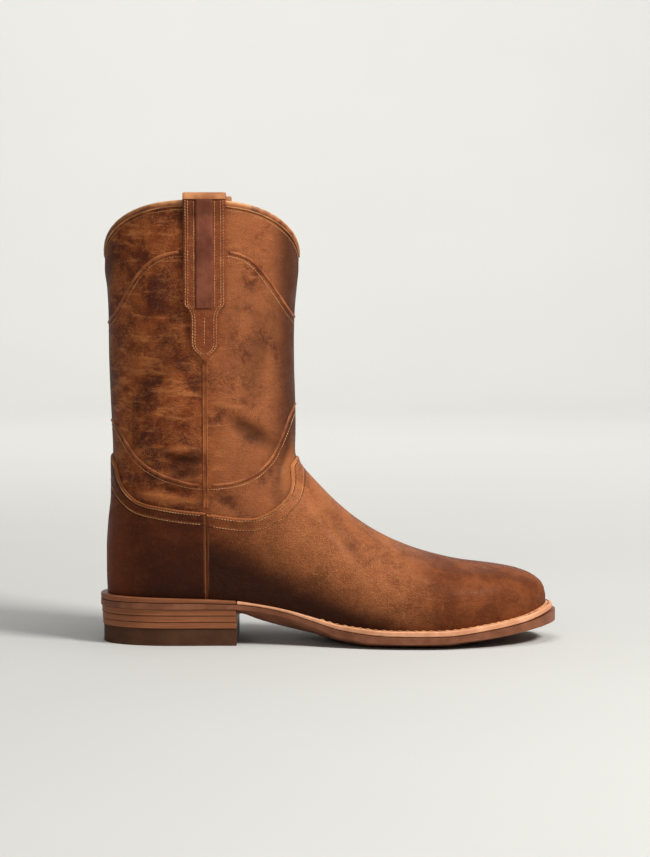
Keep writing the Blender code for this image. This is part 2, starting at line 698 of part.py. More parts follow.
def strap_rows(rim):
    """Rows of the strap from its point over the collar: height, half width, stand off."""
    near = 1.3 * FIT
    far = BINDING_EASE + BINDING_LEATHER + 2.0 * FIT
    tail = 0.5 * STRAP_TAIL_WIDTH
    wide = 0.5 * STRAP_WIDTH
    rows = []
    for row in STRAP_OUTLINE:
        z = STRAP_POINT_HEIGHT + row.up * STRAP_TAIL_RISE
        rows.append((z, tail * row.tail + (wide - tail) * row.wide, near))
    shoulder = STRAP_POINT_HEIGHT + STRAP_TAIL_RISE
    under_binding = rim - 2.0 * BINDING_REACH
    on_binding = rim - 0.7 * BINDING_REACH
    climbing = near + 0.6 * (far - near)
    rows.append((0.5 * (shoulder + under_binding), wide, near))
    rows.append((under_binding, wide, climbing))
    rows.append((on_binding, wide, far))
    rows.append((rim, wide, far))
    for quarter in (1, 2, 3):
        angle = 0.25 * math.pi * quarter
        lift = STRAP_LOOP_RISE * math.sin(angle)
        rows.append((rim + lift, wide, (far + 0.5 * WALL) * math.cos(angle) - 0.5 * WALL))
    rows.append((rim, wide, -WALL - far))
    rows.append((on_binding, wide, -WALL - far))
    rows.append((under_binding, wide, -WALL - climbing))
    rows.append((rim - 0.5 * STRAP_INSIDE_DROP, wide, -WALL - near))
    rows.append((rim - STRAP_INSIDE_DROP, wide, -WALL - near))
    return rows


def make_straps():
    """A pull strap on each side, sewn outside and inside and looped over the collar."""
    collar = shaft_sections()[-1]
    share = (SEAM_AT - collar.low[0]) / (collar.high[0] - collar.low[0])
    rim = DIP_HEIGHT + SCALLOP_DEPTH * scallop(share)
    for name, side in SIDES:
        bm = bmesh.new()
        grid = []
        for z, half, stand in strap_rows(rim):
            flat_z = min(z, rim)
            row = []
            for k in range(STRAP_STEPS + 1):
                x = SEAM_AT + half * (2.0 * k / STRAP_STEPS - 1.0)
                row.append(bm.verts.new((x, side * (shaft_side(x, flat_z) + stand), z)))
            grid.append(row)
        for low, high in zip(grid, grid[1:]):
            for i in range(STRAP_STEPS):
                bm.faces.new((low[i], low[i + 1], high[i + 1], high[i]))
        bmesh.ops.recalc_face_normals(bm, faces=bm.faces)
        bm.faces.ensure_lookup_table()
        if bm.faces[0].normal.y * side < 0.0:
            bmesh.ops.reverse_faces(bm, faces=bm.faces)
        piece = add_piece("pull_strap_" + name, bm, LEATHER_BROWN, 0.5)
        thicken(piece, STRAP_LEATHER, True)


def plan_point(turn):
    """Feather line in plan: a full turn from the heel's back along the outer side and home."""
    x = 0.5 * FOOT_LENGTH * (1.0 - math.cos(turn))
    side = OUTER if math.sin(turn) >= 0.0 else INNER
    y = plan_centre(x / FOOT_LENGTH) + side * feather_half(x, side)
    return Vector((x, y, 0.0))


def sole_point(turn, margin):
    """Feather line moved outwards by margin at the same turn."""
    here = plan_point(turn)
    run = (plan_point(turn + TURN_STEP) - plan_point(turn - TURN_STEP)).normalized()
    out = Vector((-run.y, run.x, 0.0))
    if out.dot(here - Vector((0.5 * FOOT_LENGTH, 0.0, 0.0))) < 0.0:
        out = -out
    return here + out * margin


def turn_at(x):
    """Turn of plan_point at the distance x from the heel's back."""
    return math.acos(1.0 - 2.0 * x / FOOT_LENGTH)


def slab_rows(turns, margin, top, bottom, columns, front):
    """Rows across a sole layer: points with their share of the half width, top and bottom."""
    rows = []
    for turn in turns:
        x = plan_point(turn).x
        left = sole_point(turn, margin(x))
        right = sole_point(2.0 * math.pi - turn, margin(x))
        row = []
        for c in columns:
            point = left + (right - left) * 0.5 * (1.0 + c)
            px = min(point.x, front)
            row.append(((px, point.y, top(x, c)), (px, point.y, bottom(x, c))))
        rows.append(row)
    return rows


def slab(turns, margin, top, bottom, columns=LEVEL, front=FOOT_LENGTH + PATTERN_PAST_END):
    """Closed sole layer between a top and a bottom surface, cut off straight at front."""
    bm = bmesh.new()
    rows = slab_rows(turns, margin, top, bottom, columns, front)
    tops = [[bm.verts.new(p[0]) for p in row] for row in rows]
    bottoms = [[bm.verts.new(p[1]) for p in row] for row in rows]
    last = len(rows[0]) - 1
    for i in range(len(rows) - 1):
        for k in range(last):
            bm.faces.new((tops[i][k], tops[i + 1][k], tops[i + 1][k + 1], tops[i][k + 1]))
            bm.faces.new((bottoms[i][k], bottoms[i][k + 1], bottoms[i + 1][k + 1], bottoms[i + 1][k]))
        for k in (0, last):
            bm.faces.new((tops[i][k], bottoms[i][k], bottoms[i + 1][k], tops[i + 1][k]))
    for i in (0, len(rows) - 1):
        for k in range(last):
            bm.faces.new((tops[i][k], tops[i][k + 1], bottoms[i][k + 1], bottoms[i][k]))
    bmesh.ops.remove_doubles(bm, verts=bm.verts, dist=1e-6)
    bmesh.ops.dissolve_degenerate(bm, edges=bm.edges, dist=1e-6)
    bmesh.ops.recalc_face_normals(bm, faces=bm.faces)
    return bm


def turns_between(start, stop, count):
    return [start + (stop - start) * i / count for i in range(count + 1)]


def layer_bottom(x):
    """Underside of welt and rand."""
    return seat_height(x) - FIT - welt_layer(x / FOOT_LENGTH)


def edge_margin(x):
    return sole_margin(x / FOOT_LENGTH)


def make_band(name, turns, colour):
    """Flat band under the upper's edge, from the sole's edge in to the inner face of the wall."""
    rings = []
    for turn in turns:
        x = plan_point(turn).x
        outer = sole_point(turn, edge_margin(x))
        inner = sole_point(turn, -WALL)
        top = seat_height(x) - FIT
        low = layer_bottom(x)
        rings.append([(outer.x, outer.y, top), (outer.x, outer.y, low),
                      (inner.x, inner.y, low), (inner.x, inner.y, top)])
    add_piece(name, sweep(rings, False), colour, 0.55)


def make_welt_and_rand():
    start = turn_at(HEEL_BREAST + FIT)
    make_band("welt", turns_between(start, 2.0 * math.pi - start, 2 * SOLE_STEPS), SOLE_TAN)
    stop = turn_at(HEEL_BREAST - FIT)
    make_band("heel_rand", turns_between(-stop, stop, SOLE_STEPS), SOLE_TAN)


def make_insole():
    bm = slab(turns_between(0.0, math.pi, SOLE_STEPS), lambda x: -WALL - INSOLE_EASE,
              lambda x, c: seat_height(x) + INSOLE_RISE, lambda x, c: layer_bottom(x))
    add_piece("insole", bm, INSOLE_BUFF, 0.7)


def tread(x, c):
    """Underside of the outsole: flat over the heel, rounded at the waist, flat at the ball."""
    if x < HEEL_BREAST + 2.0 * FIT:
        return HEEL_TOP + FIT
    along = x / FOOT_LENGTH
    flat = tread_flat(along)
    edge = tread_edge(along)
    keel = tread_keel(along)
    return keel + (edge - keel) * (max(0.0, abs(c) - flat) / (1.0 - flat)) ** 2


def outsole_margin(x):
    """The outsole's edge stands out a little more than the welt at the toe."""
    return edge_margin(x) + TOE_EDGE_SWELL * smooth_step(1.0 - (FOOT_LENGTH - x) / TOE_SWELL_LENGTH)


def make_outsole():
    behind = turns_between(0.0, turn_at(HEEL_BREAST + FIT), SOLE_STEPS // 2)
    ahead = turns_between(turn_at(HEEL_BREAST + 3.0 * FIT), math.pi, SOLE_STEPS)
    bm = slab(behind + ahead, outsole_margin, lambda x, c: layer_bottom(x) - FIT, tread, KEELED)
    add_piece("outsole", bm, SOLE_TAN, 0.55)


def make_heel():
    """Leather lifts over a rubber cap, all cut off square at the breast."""
    turns = turns_between(0.0, turn_at(HEEL_BREAST), SOLE_STEPS // 2)
    lift = (HEEL_TOP - HEEL_CAP_HEIGHT) / LIFT_COUNT
    layers = [("heel_cap", 0.0, HEEL_CAP_HEIGHT, RUBBER_DARK)]
    for i in range(LIFT_COUNT):
        low = HEEL_CAP_HEIGHT + i * lift + FIT
        layers.append(("heel_lift_%d" % (i + 1), low, HEEL_CAP_HEIGHT + (i + 1) * lift, STACK_BROWN))
    for name, low, high, colour in layers:
        taper = HEEL_TAPER * (1.0 - low / HEEL_SEAT)
        bm = slab(turns, lambda x: edge_margin(x) - taper, lambda x, c: high, lambda x, c: low,
                  front=HEEL_BREAST)
        add_piece(name, bm, colour, 0.5)


clear_scene()
parts = collection("roper_boot")
cutters = collection("patterns")
boot = bpy.data.objects.new("boot", None)
parts.objects.link(boot)
boot.location.x = -0.5 * (HEEL_BREAST - HEEL_MARGIN + HEEL_TAPER)

make_upper()
make_overlays()
make_piping("piping_top", UPPER_ARCH, 0.5 * STRAP_WIDTH + FIT)
make_piping("piping_low", LOWER_ARCH, 0.5 * SEAM_WIDTH + FIT)
make_side_seams()
make_binding()
make_straps()
make_insole()
make_welt_and_rand()
make_outsole()
make_heel()
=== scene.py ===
"""The dressed roper boot: leather, seams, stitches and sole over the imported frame."""
import math
import bmesh
import bpy
import numpy as np
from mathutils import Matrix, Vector
from mathutils.bvhtree import BVHTree


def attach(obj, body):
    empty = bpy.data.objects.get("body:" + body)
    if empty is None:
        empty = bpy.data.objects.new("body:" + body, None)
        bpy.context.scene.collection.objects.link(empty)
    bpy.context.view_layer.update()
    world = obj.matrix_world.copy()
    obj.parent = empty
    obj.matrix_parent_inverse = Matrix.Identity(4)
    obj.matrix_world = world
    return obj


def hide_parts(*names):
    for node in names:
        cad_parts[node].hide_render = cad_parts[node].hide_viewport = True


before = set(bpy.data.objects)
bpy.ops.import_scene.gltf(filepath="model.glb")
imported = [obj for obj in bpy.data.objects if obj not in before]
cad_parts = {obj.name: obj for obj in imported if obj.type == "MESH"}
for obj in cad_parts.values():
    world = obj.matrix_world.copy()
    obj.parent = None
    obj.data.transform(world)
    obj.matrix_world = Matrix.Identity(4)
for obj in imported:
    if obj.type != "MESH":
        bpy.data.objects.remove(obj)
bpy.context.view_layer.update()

# The boot's own sizes, as in the model's source
FOOT_LENGTH = 0.2903
BALL_WIDTH = 0.0905
HEEL_WIDTH = 0.0590
HEEL_ROUND = 0.0450
TOE_ROUND = 0.0750
TOE_BOX = 0.0485
THROAT = 0.1280
SHAFT_DEPTH = 0.1234
SHAFT_WIDTH = 0.0990
SHAFT_HEIGHT = 0.2915
SCALLOP_DEPTH = 0.0330
ANKLE_TOP = 0.1250
ANKLE_BOTTOM = 0.0350
FEATHER_BULGE = 0.0022
FEATHER_BULGE_RISE = 0.0120
WALL = 0.0024
OVERLAY = 0.0013
OVERLAY_FIT = 0.0004
FIT = 0.0003
HEEL_SEAT = 0.0325
BALL_SEAT = 0.0123
TOE_SEAT = 0.0248
WELT_THICKNESS = 0.0033
WELT_MARGIN = 0.0060
WAIST_MARGIN = 0.0030
HEEL_MARGIN = 0.0062
TOE_EDGE_SWELL = 0.0022
HEEL_LENGTH = 0.0917
HEEL_TAPER = 0.0020
HEEL_CAP_HEIGHT = 0.0114
HEEL_TOP = 0.0240
BINDING_REACH = 0.0030
BINDING_LEATHER = 0.0008
BINDING_EASE = 0.0006
STRAP_WIDTH = 0.0278
STRAP_TAIL_WIDTH = 0.0186
STRAP_LEATHER = 0.0018
STRAP_POINT = 0.1882
STRAP_TAIL_RISE = 0.0368
STRAP_INSIDE_DROP = 0.0480
STRAP_LOOP_RISE = 0.0028
SEAM_WIDTH = 0.0036
SEAM_AT = 0.0660
DIP_HEIGHT = SHAFT_HEIGHT - SCALLOP_DEPTH
HEEL_BREAST = HEEL_LENGTH - HEEL_MARGIN
ORIGIN = 0.5 * (HEEL_BREAST - HEEL_MARGIN + HEEL_TAPER)
HEEL_FULLNESS = 2.2
TOE_FULLNESS = 2.0
OUTER, INNER = -1.0, 1.0
SIDES = (("outer", OUTER), ("inner", INNER))

# along, width followed, centre, outer half, inner half
PLAN = (
    (0.000, HEEL_WIDTH, 0.000, 0.500, 0.500), (0.155, HEEL_WIDTH, 0.000, 0.500, 0.500),
    (0.251, HEEL_WIDTH, 0.000, 0.488, 0.468), (0.338, HEEL_WIDTH, 0.008, 0.508, 0.407),
    (0.417, BALL_WIDTH, 0.017, 0.365, 0.238), (0.493, BALL_WIDTH, 0.022, 0.414, 0.265),
    (0.568, BALL_WIDTH, 0.028, 0.475, 0.343), (0.648, BALL_WIDTH, 0.033, 0.530, 0.425),
    (0.734, BALL_WIDTH, 0.035, 0.541, 0.475), (0.813, BALL_WIDTH, 0.044, 0.528, 0.462),
    (0.878, BALL_WIDTH, 0.055, 0.516, 0.460), (0.930, BALL_WIDTH, 0.061, 0.500, 0.478),
    (1.000, BALL_WIDTH, 0.066, 0.497, 0.490),
)
# along, height followed, share
SEAT = (
    (0.000, HEEL_SEAT, 1.000), (0.150, HEEL_SEAT, 0.978), (0.290, HEEL_SEAT, 0.925), (0.335, HEEL_SEAT, 0.870),
    (0.407, HEEL_SEAT, 0.755), (0.460, HEEL_SEAT, 0.634), (0.538, BALL_SEAT, 1.230), (0.645, BALL_SEAT, 1.010),
    (0.700, BALL_SEAT, 1.000), (0.770, BALL_SEAT, 1.030), (0.850, BALL_SEAT, 1.240), (0.940, TOE_SEAT, 0.780),
    (1.000, TOE_SEAT, 1.000),
)
# low, ridge, height followed, share, widest, fullness
FOOT_ROWS = (
    (0.9995, 1.0000, TOE_BOX, 0.600, 0.30, 2.7), (0.992, 0.988, TOE_BOX, 0.742, 0.30, 2.7),
    (0.973, 0.947, TOE_BOX, 0.860, 0.30, 2.7), (0.940, 0.878, TOE_BOX, 0.944, 0.30, 2.6),
    (0.892, 0.788, TOE_BOX, 1.000, 0.28, 2.5), (0.827, 0.663, TOE_BOX, 1.056, 0.26, 2.4),
    (0.748, 0.516, THROAT, 0.447, 0.24, 2.3), (0.665, 0.381, THROAT, 0.516, 0.22, 2.2),
    (0.582, 0.285, THROAT, 0.586, 0.24, 2.1), (0.500, 0.207, THROAT, 0.660, 0.28, 2.0),
    (0.413, 0.144, THROAT, 0.734, 0.34, 2.0), (0.331, 0.095, THROAT, 0.799, 0.40, 2.05),
    (0.252, 0.057, THROAT, 0.852, 0.44, 2.1), (0.179, 0.031, THROAT, 0.891, 0.46, 2.1),
    (0.117, 0.016, THROAT, 0.920, 0.48, 2.15), (0.066, 0.008, THROAT, 0.944, 0.50, 2.2),
    (0.031, 0.004, THROAT, 0.965, 0.50, 2.2), (0.009, 0.001, THROAT, 0.984, 0.50, 2.2),
    (0.000, 0.000, THROAT, 1.000, 0.50, 2.2),
)
# back, front, back up, front up, scallop
SHAFT_ROWS = (
    (0.000, 1.000, 0.000, 0.000, 0.00), (-0.004, 1.001, 0.060, 0.027, 0.00), (-0.004, 1.003, 0.131, 0.062, 0.00),
    (0.005, 1.005, 0.210, 0.107, 0.00), (0.020, 1.006, 0.290, 0.157, 0.00), (0.022, 1.005, 0.378, 0.222, 0.00),
    (0.016, 1.003, 0.484, 0.306, 0.00), (0.007, 0.999, 0.600, 0.421, 0.02), (0.001, 0.998, 0.715, 0.559, 0.09),
    (0.000, 1.002, 0.816, 0.697, 0.30), (-0.007, 1.013, 0.896, 0.820, 0.58), (-0.019, 1.023, 0.953, 0.919, 0.82),
    (-0.016, 1.023, 1.000, 1.000, 1.00),
)
GIRTH = ((0.10, 0.440), (0.36, 0.455), (0.48, 0.470), (0.56, 0.485), (0.65, 0.495), (0.77, 0.500), (1.00, 0.498))
# along, height followed, edge, keel, flat
TREAD = (
    (0.310, HEEL_TOP, 1.000, 0.750, 0.0), (0.335, HEEL_TOP, 0.965, 0.620, 0.0), (0.370, HEEL_TOP, 0.890, 0.490, 0.0),
    (0.425, HEEL_TOP, 0.740, 0.330, 0.0), (0.468, HEEL_TOP, 0.570, 0.230, 0.1), (0.494, BALL_SEAT, 0.870, 0.320, 0.2),
    (0.528, BALL_SEAT, 0.585, 0.160, 0.3), (0.566, BALL_SEAT, 0.463, 0.045, 0.5), (0.600, BALL_SEAT, 0.350, 0.000, 0.6),
    (0.680, BALL_SEAT, 0.293, 0.000, 0.6), (0.765, BALL_SEAT, 0.330, 0.000, 0.6), (0.811, BALL_SEAT, 0.439, 0.130, 0.6),
    (0.880, TOE_SEAT, 0.286, 0.190, 0.6), (0.948, TOE_SEAT, 0.411, 0.350, 0.6), (1.000, TOE_SEAT, 0.530, 0.500, 0.6),
)
WELT_LAYER = ((0.00, 1.10), (0.29, 0.66), (0.34, 0.48), (0.41, 0.60), (0.50, 0.85), (0.60, 1.00), (1.00, 1.12))
SOLE_MARGIN = (
    (0.00, HEEL_MARGIN, 1.00), (0.10, HEEL_MARGIN, 0.78), (0.29, HEEL_MARGIN, 0.72), (0.40, WAIST_MARGIN, 1.00),
    (0.48, WAIST_MARGIN, 1.25), (0.58, WELT_MARGIN, 0.95), (1.00, WELT_MARGIN, 1.00),
)
# Side lines: along in shares of the shaft's depth, up in shares of throat or shaft height
VAMP_TOP = (
    (0.530, 0.692), (0.640, 0.676), (0.735, 0.665), (0.800, 0.668), (0.850, 0.687), (0.900, 0.714), (0.946, 0.754),
    (0.972, 0.790), (0.984, 0.848), (0.978, 0.918), (0.999, 0.951), (1.100, 1.060),
)
COUNTER_TOP = (
    (-0.100, 1.070), (0.014, 0.983), (0.033, 0.957), (0.060, 0.915), (0.066, 0.883), (0.090, 0.823), (0.142, 0.770),
    (0.202, 0.741), (0.322, 0.720), (0.424, 0.706), (0.545, 0.695),
)
UPPER_ARCH = (
    (-0.100, 0.670), (-0.020, 0.712), (0.000, 0.727), (0.041, 0.746), (0.087, 0.774), (0.132, 0.808), (0.184, 0.839),
    (0.251, 0.866), (0.318, 0.880), (0.407, 0.887), (0.527, 0.889), (0.648, 0.887), (0.703, 0.883), (0.767, 0.871),
    (0.823, 0.849), (0.878, 0.818), (0.934, 0.783), (0.981, 0.752), (1.010, 0.735), (1.100, 0.680),
)
LOWER_ARCH = (
    (-0.100, 0.540), (0.002, 0.510), (0.055, 0.495), (0.102, 0.465), (0.159, 0.430), (0.215, 0.409), (0.285, 0.392),
    (0.350, 0.382), (0.446, 0.371), (0.536, 0.367), (0.624, 0.369), (0.701, 0.374), (0.789, 0.388), (0.869, 0.418),
    (0.908, 0.446), (0.947, 0.484), (0.976, 0.517), (1.004, 0.542), (1.015, 0.555), (1.100, 0.600),
)
STRAP_OUTLINE = (
    (0.000, 0.10, 0.00), (0.120, 0.52, 0.00), (0.260, 0.97, 0.00), (0.520, 1.00, 0.00), (0.760, 1.00, 0.03),
    (0.860, 1.00, 0.20), (0.950, 1.00, 0.62), (1.000, 1.00, 1.00),
)


class Smooth:
    """A smooth curve through its rows that never swings past them, for arrays too."""

    def __init__(self, places, values):
        self.places = np.array(list(places), float)
        self.values = np.array(list(values), float)
        rises = np.diff(self.values) / np.diff(self.places)
        both = rises[:-1] * rises[1:]
        total = np.where(both > 0.0, rises[:-1] + rises[1:], 1.0)
        inner = np.where(both > 0.0, 2.0 * both / total, 0.0)
        self.slopes = np.concatenate(([rises[0]], inner, [rises[-1]]))

    def __call__(self, place):
        place = np.clip(place, self.places[0], self.places[-1])
        i = np.clip(np.searchsorted(self.places, place, "right") - 1, 0, len(self.places) - 2)
        step = self.places[i + 1] - self.places[i]
        q = (place - self.places[i]) / step
        start, end = self.values[i], self.values[i + 1]
        bend_in = q * (1.0 - q) ** 2 * step * self.slopes[i]
        bend_out = q * q * (1.0 - q) * step * self.slopes[i + 1]
        return start + (end - start) * q * q * (3.0 - 2.0 * q) + bend_in - bend_out


def column(rows, place, value):
    return Smooth([place(r) for r in rows], [value(r) for r in rows])


def by_row(rows, value):
    return Smooth(range(len(rows)), [value(r) for r in rows])


plan_centre = column(PLAN, lambda r: r[0], lambda r: r[2] * r[1])
plan_half = {OUTER: column(PLAN, lambda r: r[0], lambda r: r[3] * r[1]),
             INNER: column(PLAN, lambda r: r[0], lambda r: r[4] * r[1])}
seat_share = column(SEAT, lambda r: r[0], lambda r: r[1] * r[2])
shaft_half = column(GIRTH, lambda r: r[0] * SHAFT_HEIGHT, lambda r: r[1] * SHAFT_WIDTH)
welt_layer = column(WELT_LAYER, lambda r: r[0], lambda r: r[1] * WELT_THICKNESS)
sole_margin = column(SOLE_MARGIN, lambda r: r[0], lambda r: r[1] * r[2])
tread_edge = column(TREAD, lambda r: r[0], lambda r: r[1] * r[2])
tread_keel = column(TREAD, lambda r: r[0], lambda r: r[1] * r[3])
tread_flat = column(TREAD, lambda r: r[0], lambda r: r[4])
back_line = column(SHAFT_ROWS, lambda r: HEEL_SEAT + r[2] * (DIP_HEIGHT - HEEL_SEAT), lambda r: r[0] * SHAFT_DEPTH)
front_line = column(SHAFT_ROWS, lambda r: THROAT + r[3] * (DIP_HEIGHT - THROAT), lambda r: r[1] * SHAFT_DEPTH)


def seat_height(x):
    return seat_share(x / FOOT_LENGTH)


def quadrant(share, fullness):
    share = np.clip(share, 0.0, 1.0)
    return (1.0 - (1.0 - share) ** fullness) ** (1.0 / fullness)


def smooth_step(share):
    share = np.clip(share, 0.0, 1.0)
    return share * share * (3.0 - 2.0 * share)


def body_half(x, z, side):
    """Half width before the crown closes it."""
    along = x / FOOT_LENGTH
    above = smooth_step((z - ANKLE_BOTTOM) / (ANKLE_TOP - ANKLE_BOTTOM))
    rise = np.clip((z - seat_height(x)) / FEATHER_BULGE_RISE, 0.0, 1.0)
    foot = plan_half[side](along) + FEATHER_BULGE * rise * (2.0 - rise)
    half = foot + (shaft_half(z) - foot) * above
    round_length = HEEL_ROUND + (0.5 * SHAFT_DEPTH - HEEL_ROUND) * above
    heel = quadrant((x - back_line(z)) / round_length, HEEL_FULLNESS)
    toe = quadrant((FOOT_LENGTH - x) / TOE_ROUND, TOE_FULLNESS)
    return half * heel * toe


def scallop(share):
    return np.sqrt(np.maximum(0.0, 1.0 - np.abs(2.0 * share - 1.0) ** 2.5))


def section_columns(foot_count, shaft_count):
    """Low and high ends and shapes of all the ribs and rings, toe to collar."""
    last = len(FOOT_ROWS) - 1
    f = np.linspace(0.0, last, foot_count)
    s = np.linspace(0.0, len(SHAFT_ROWS) - 1, shaft_count + 1)[1:]
    turn_row = 10
    foot_x = FOOT_LENGTH * by_row(FOOT_ROWS, lambda r: r[0])(f)
    ridge = by_row(FOOT_ROWS, lambda r: r[1])(f)
    back_up = by_row(SHAFT_ROWS, lambda r: r[2])(s)
    front_up = by_row(SHAFT_ROWS, lambda r: r[3])(s)
    flat = np.ones_like(s)
    return {
        "low_x": np.concatenate((foot_x, SHAFT_DEPTH * by_row(SHAFT_ROWS, lambda r: r[0])(s))),
        "low_z": np.concatenate((seat_height(foot_x), HEEL_SEAT + back_up * (DIP_HEIGHT - HEEL_SEAT))),
        "high_x": np.concatenate((SHAFT_DEPTH + (FOOT_LENGTH - SHAFT_DEPTH) * ridge,
                                  SHAFT_DEPTH * by_row(SHAFT_ROWS, lambda r: r[1])(s))),
        "high_z": np.concatenate((by_row(FOOT_ROWS, lambda r: r[2] * r[3])(f),
                                  THROAT + front_up * (DIP_HEIGHT - THROAT))),
        "widest": np.concatenate((by_row(FOOT_ROWS, lambda r: r[4])(f), 0.5 * flat)),
        "fullness": np.concatenate((by_row(FOOT_ROWS, lambda r: r[5])(f), HEEL_FULLNESS * flat)),
        "lift": np.concatenate((0.0 * f, SCALLOP_DEPTH * by_row(SHAFT_ROWS, lambda r: r[4])(s))),
        "ends": np.concatenate((smooth_step((f - turn_row) / (last - turn_row)), flat)),
    }


def surface_grid(foot_count, shaft_count, steps):
    """Points of the upper's outer face: ribs by columns, outer feather over the ridge to the inner one."""
    c = {k: v[:, None] for k, v in section_columns(foot_count, shaft_count).items()}
    t = np.linspace(0.0, 1.0, steps + 1)[None, :]
    high = np.sin(0.5 * np.pi * t)
    both = 0.5 * (1.0 - np.cos(np.pi * t))
    share = high + (both - high) * c["ends"]
    x = c["low_x"] + (c["high_x"] - c["low_x"]) * share
    z = c["low_z"] + (c["high_z"] - c["low_z"]) * share + c["lift"] * scallop(share)
    crown = quadrant((1.0 - share) / (1.0 - c["widest"]), c["fullness"])
    above = smooth_step((z - ANKLE_BOTTOM) / (ANKLE_TOP - ANKLE_BOTTOM))
    centre = plan_centre(x / FOOT_LENGTH) * (1.0 - above)
    halves = [np.stack((x, centre + s * body_half(x, z, s) * crown, z), -1) for s in (OUTER, INNER)]
    return np.concatenate((halves[0], halves[1][:, -2::-1]), 1)


def grid_normals(p):
    """Outward normals of a grid of points."""
    along = np.gradient(p, axis=0)
    around = np.gradient(p, axis=1)
    n = np.cross(along, around)
    length = np.linalg.norm(n, axis=-1, keepdims=True)
    n = n / np.maximum(length, 1e-12)
    middle = p.shape[1] // 4
    if n[-10, middle, 1] > 0.0:
        n = -n
    return n


def grid_faces(rows, cols, foot_count):
    """Quads of the grid, the shaft's rings closed at the back and the toe's end closed."""
    faces = []
    for i in range(rows - 1):
        a = i * cols
        b = a + cols
        for k in range(cols - 1):
            faces.append((a + k, a + k + 1, b + k + 1, b + k))
    half = cols // 2
    for k in range(half):
        faces.append((k, cols - 1 - k, cols - 2 - k, k + 1))
    return faces


def side_line(spots, height):
    return [(a * SHAFT_DEPTH, u * height) for a, u in spots]


def curve_through(points, steps):
    """Rounded line through points, with a few steps in each stretch."""
    p = np.array([points[0]] + list(points) + [points[-1]], float)
    q = np.linspace(0.0, 1.0, steps, endpoint=False)[:, None]
    runs = []
    for a, b, c, d in zip(p, p[1:], p[2:], p[3:]):
        runs.append(0.5 * (2 * b + (c - a) * q + (2 * a - 5 * b + 4 * c - d) * q * q + (3 * b - a - 3 * c + d) * q ** 3))
    return np.concatenate(runs + [p[-1:]])


def distance_to(line, points):
    """Least distance of each point to a polyline of the side view."""
    best = np.full(len(points), 1.0)
    for a, b in zip(line[:-1], line[1:]):
        run = b - a
        length = max(float(run @ run), 1e-14)
        q = np.clip(((points - a) @ run) / length, 0.0, 1.0)
        best = np.minimum(best, np.linalg.norm(points - a - q[:, None] * run, axis=1))
    return best


def inside_of(outline, points):
    x, z = points[:, 0], points[:, 1]
    odd = np.zeros(len(points), bool)
    for (ax, az), (bx, bz) in zip(outline, np.roll(outline, -1, axis=0)):
        if az == bz:
            continue
        cross = ((az > z) != (bz > z)) & (x < (bx - ax) * (z - az) / (bz - az) + ax)
        odd ^= cross
    return odd


VAMP_LINE = curve_through(side_line(VAMP_TOP, THROAT), 6)
VAMP_LINE = VAMP_LINE[VAMP_LINE[:, 0] > SEAM_AT]
COUNTER_LINE = curve_through(side_line(COUNTER_TOP, THROAT), 6)
COUNTER_LINE = COUNTER_LINE[COUNTER_LINE[:, 0] < SEAM_AT]
UPPER_ARCH_LINE = curve_through(side_line(UPPER_ARCH, SHAFT_HEIGHT), 6)
LOWER_ARCH_LINE = curve_through(side_line(LOWER_ARCH, SHAFT_HEIGHT), 6)
BELOW = -0.05
PAST = 0.40
SEAM_SPLIT = 0.0002
vamp_edge = np.concatenate(([(SEAM_AT + SEAM_SPLIT, BELOW), (SEAM_AT + SEAM_SPLIT, VAMP_LINE[0][1])], VAMP_LINE))
counter_edge = np.concatenate((COUNTER_LINE, [(SEAM_AT - SEAM_SPLIT, COUNTER_LINE[-1][1]), (SEAM_AT - SEAM_SPLIT, BELOW)]))
vamp_outline = np.concatenate((vamp_edge, [(PAST, VAMP_LINE[-1][1]), (PAST, BELOW)]))
counter_outline = np.concatenate((counter_edge, [(-PAST, BELOW), (-PAST, COUNTER_LINE[0][1])]))

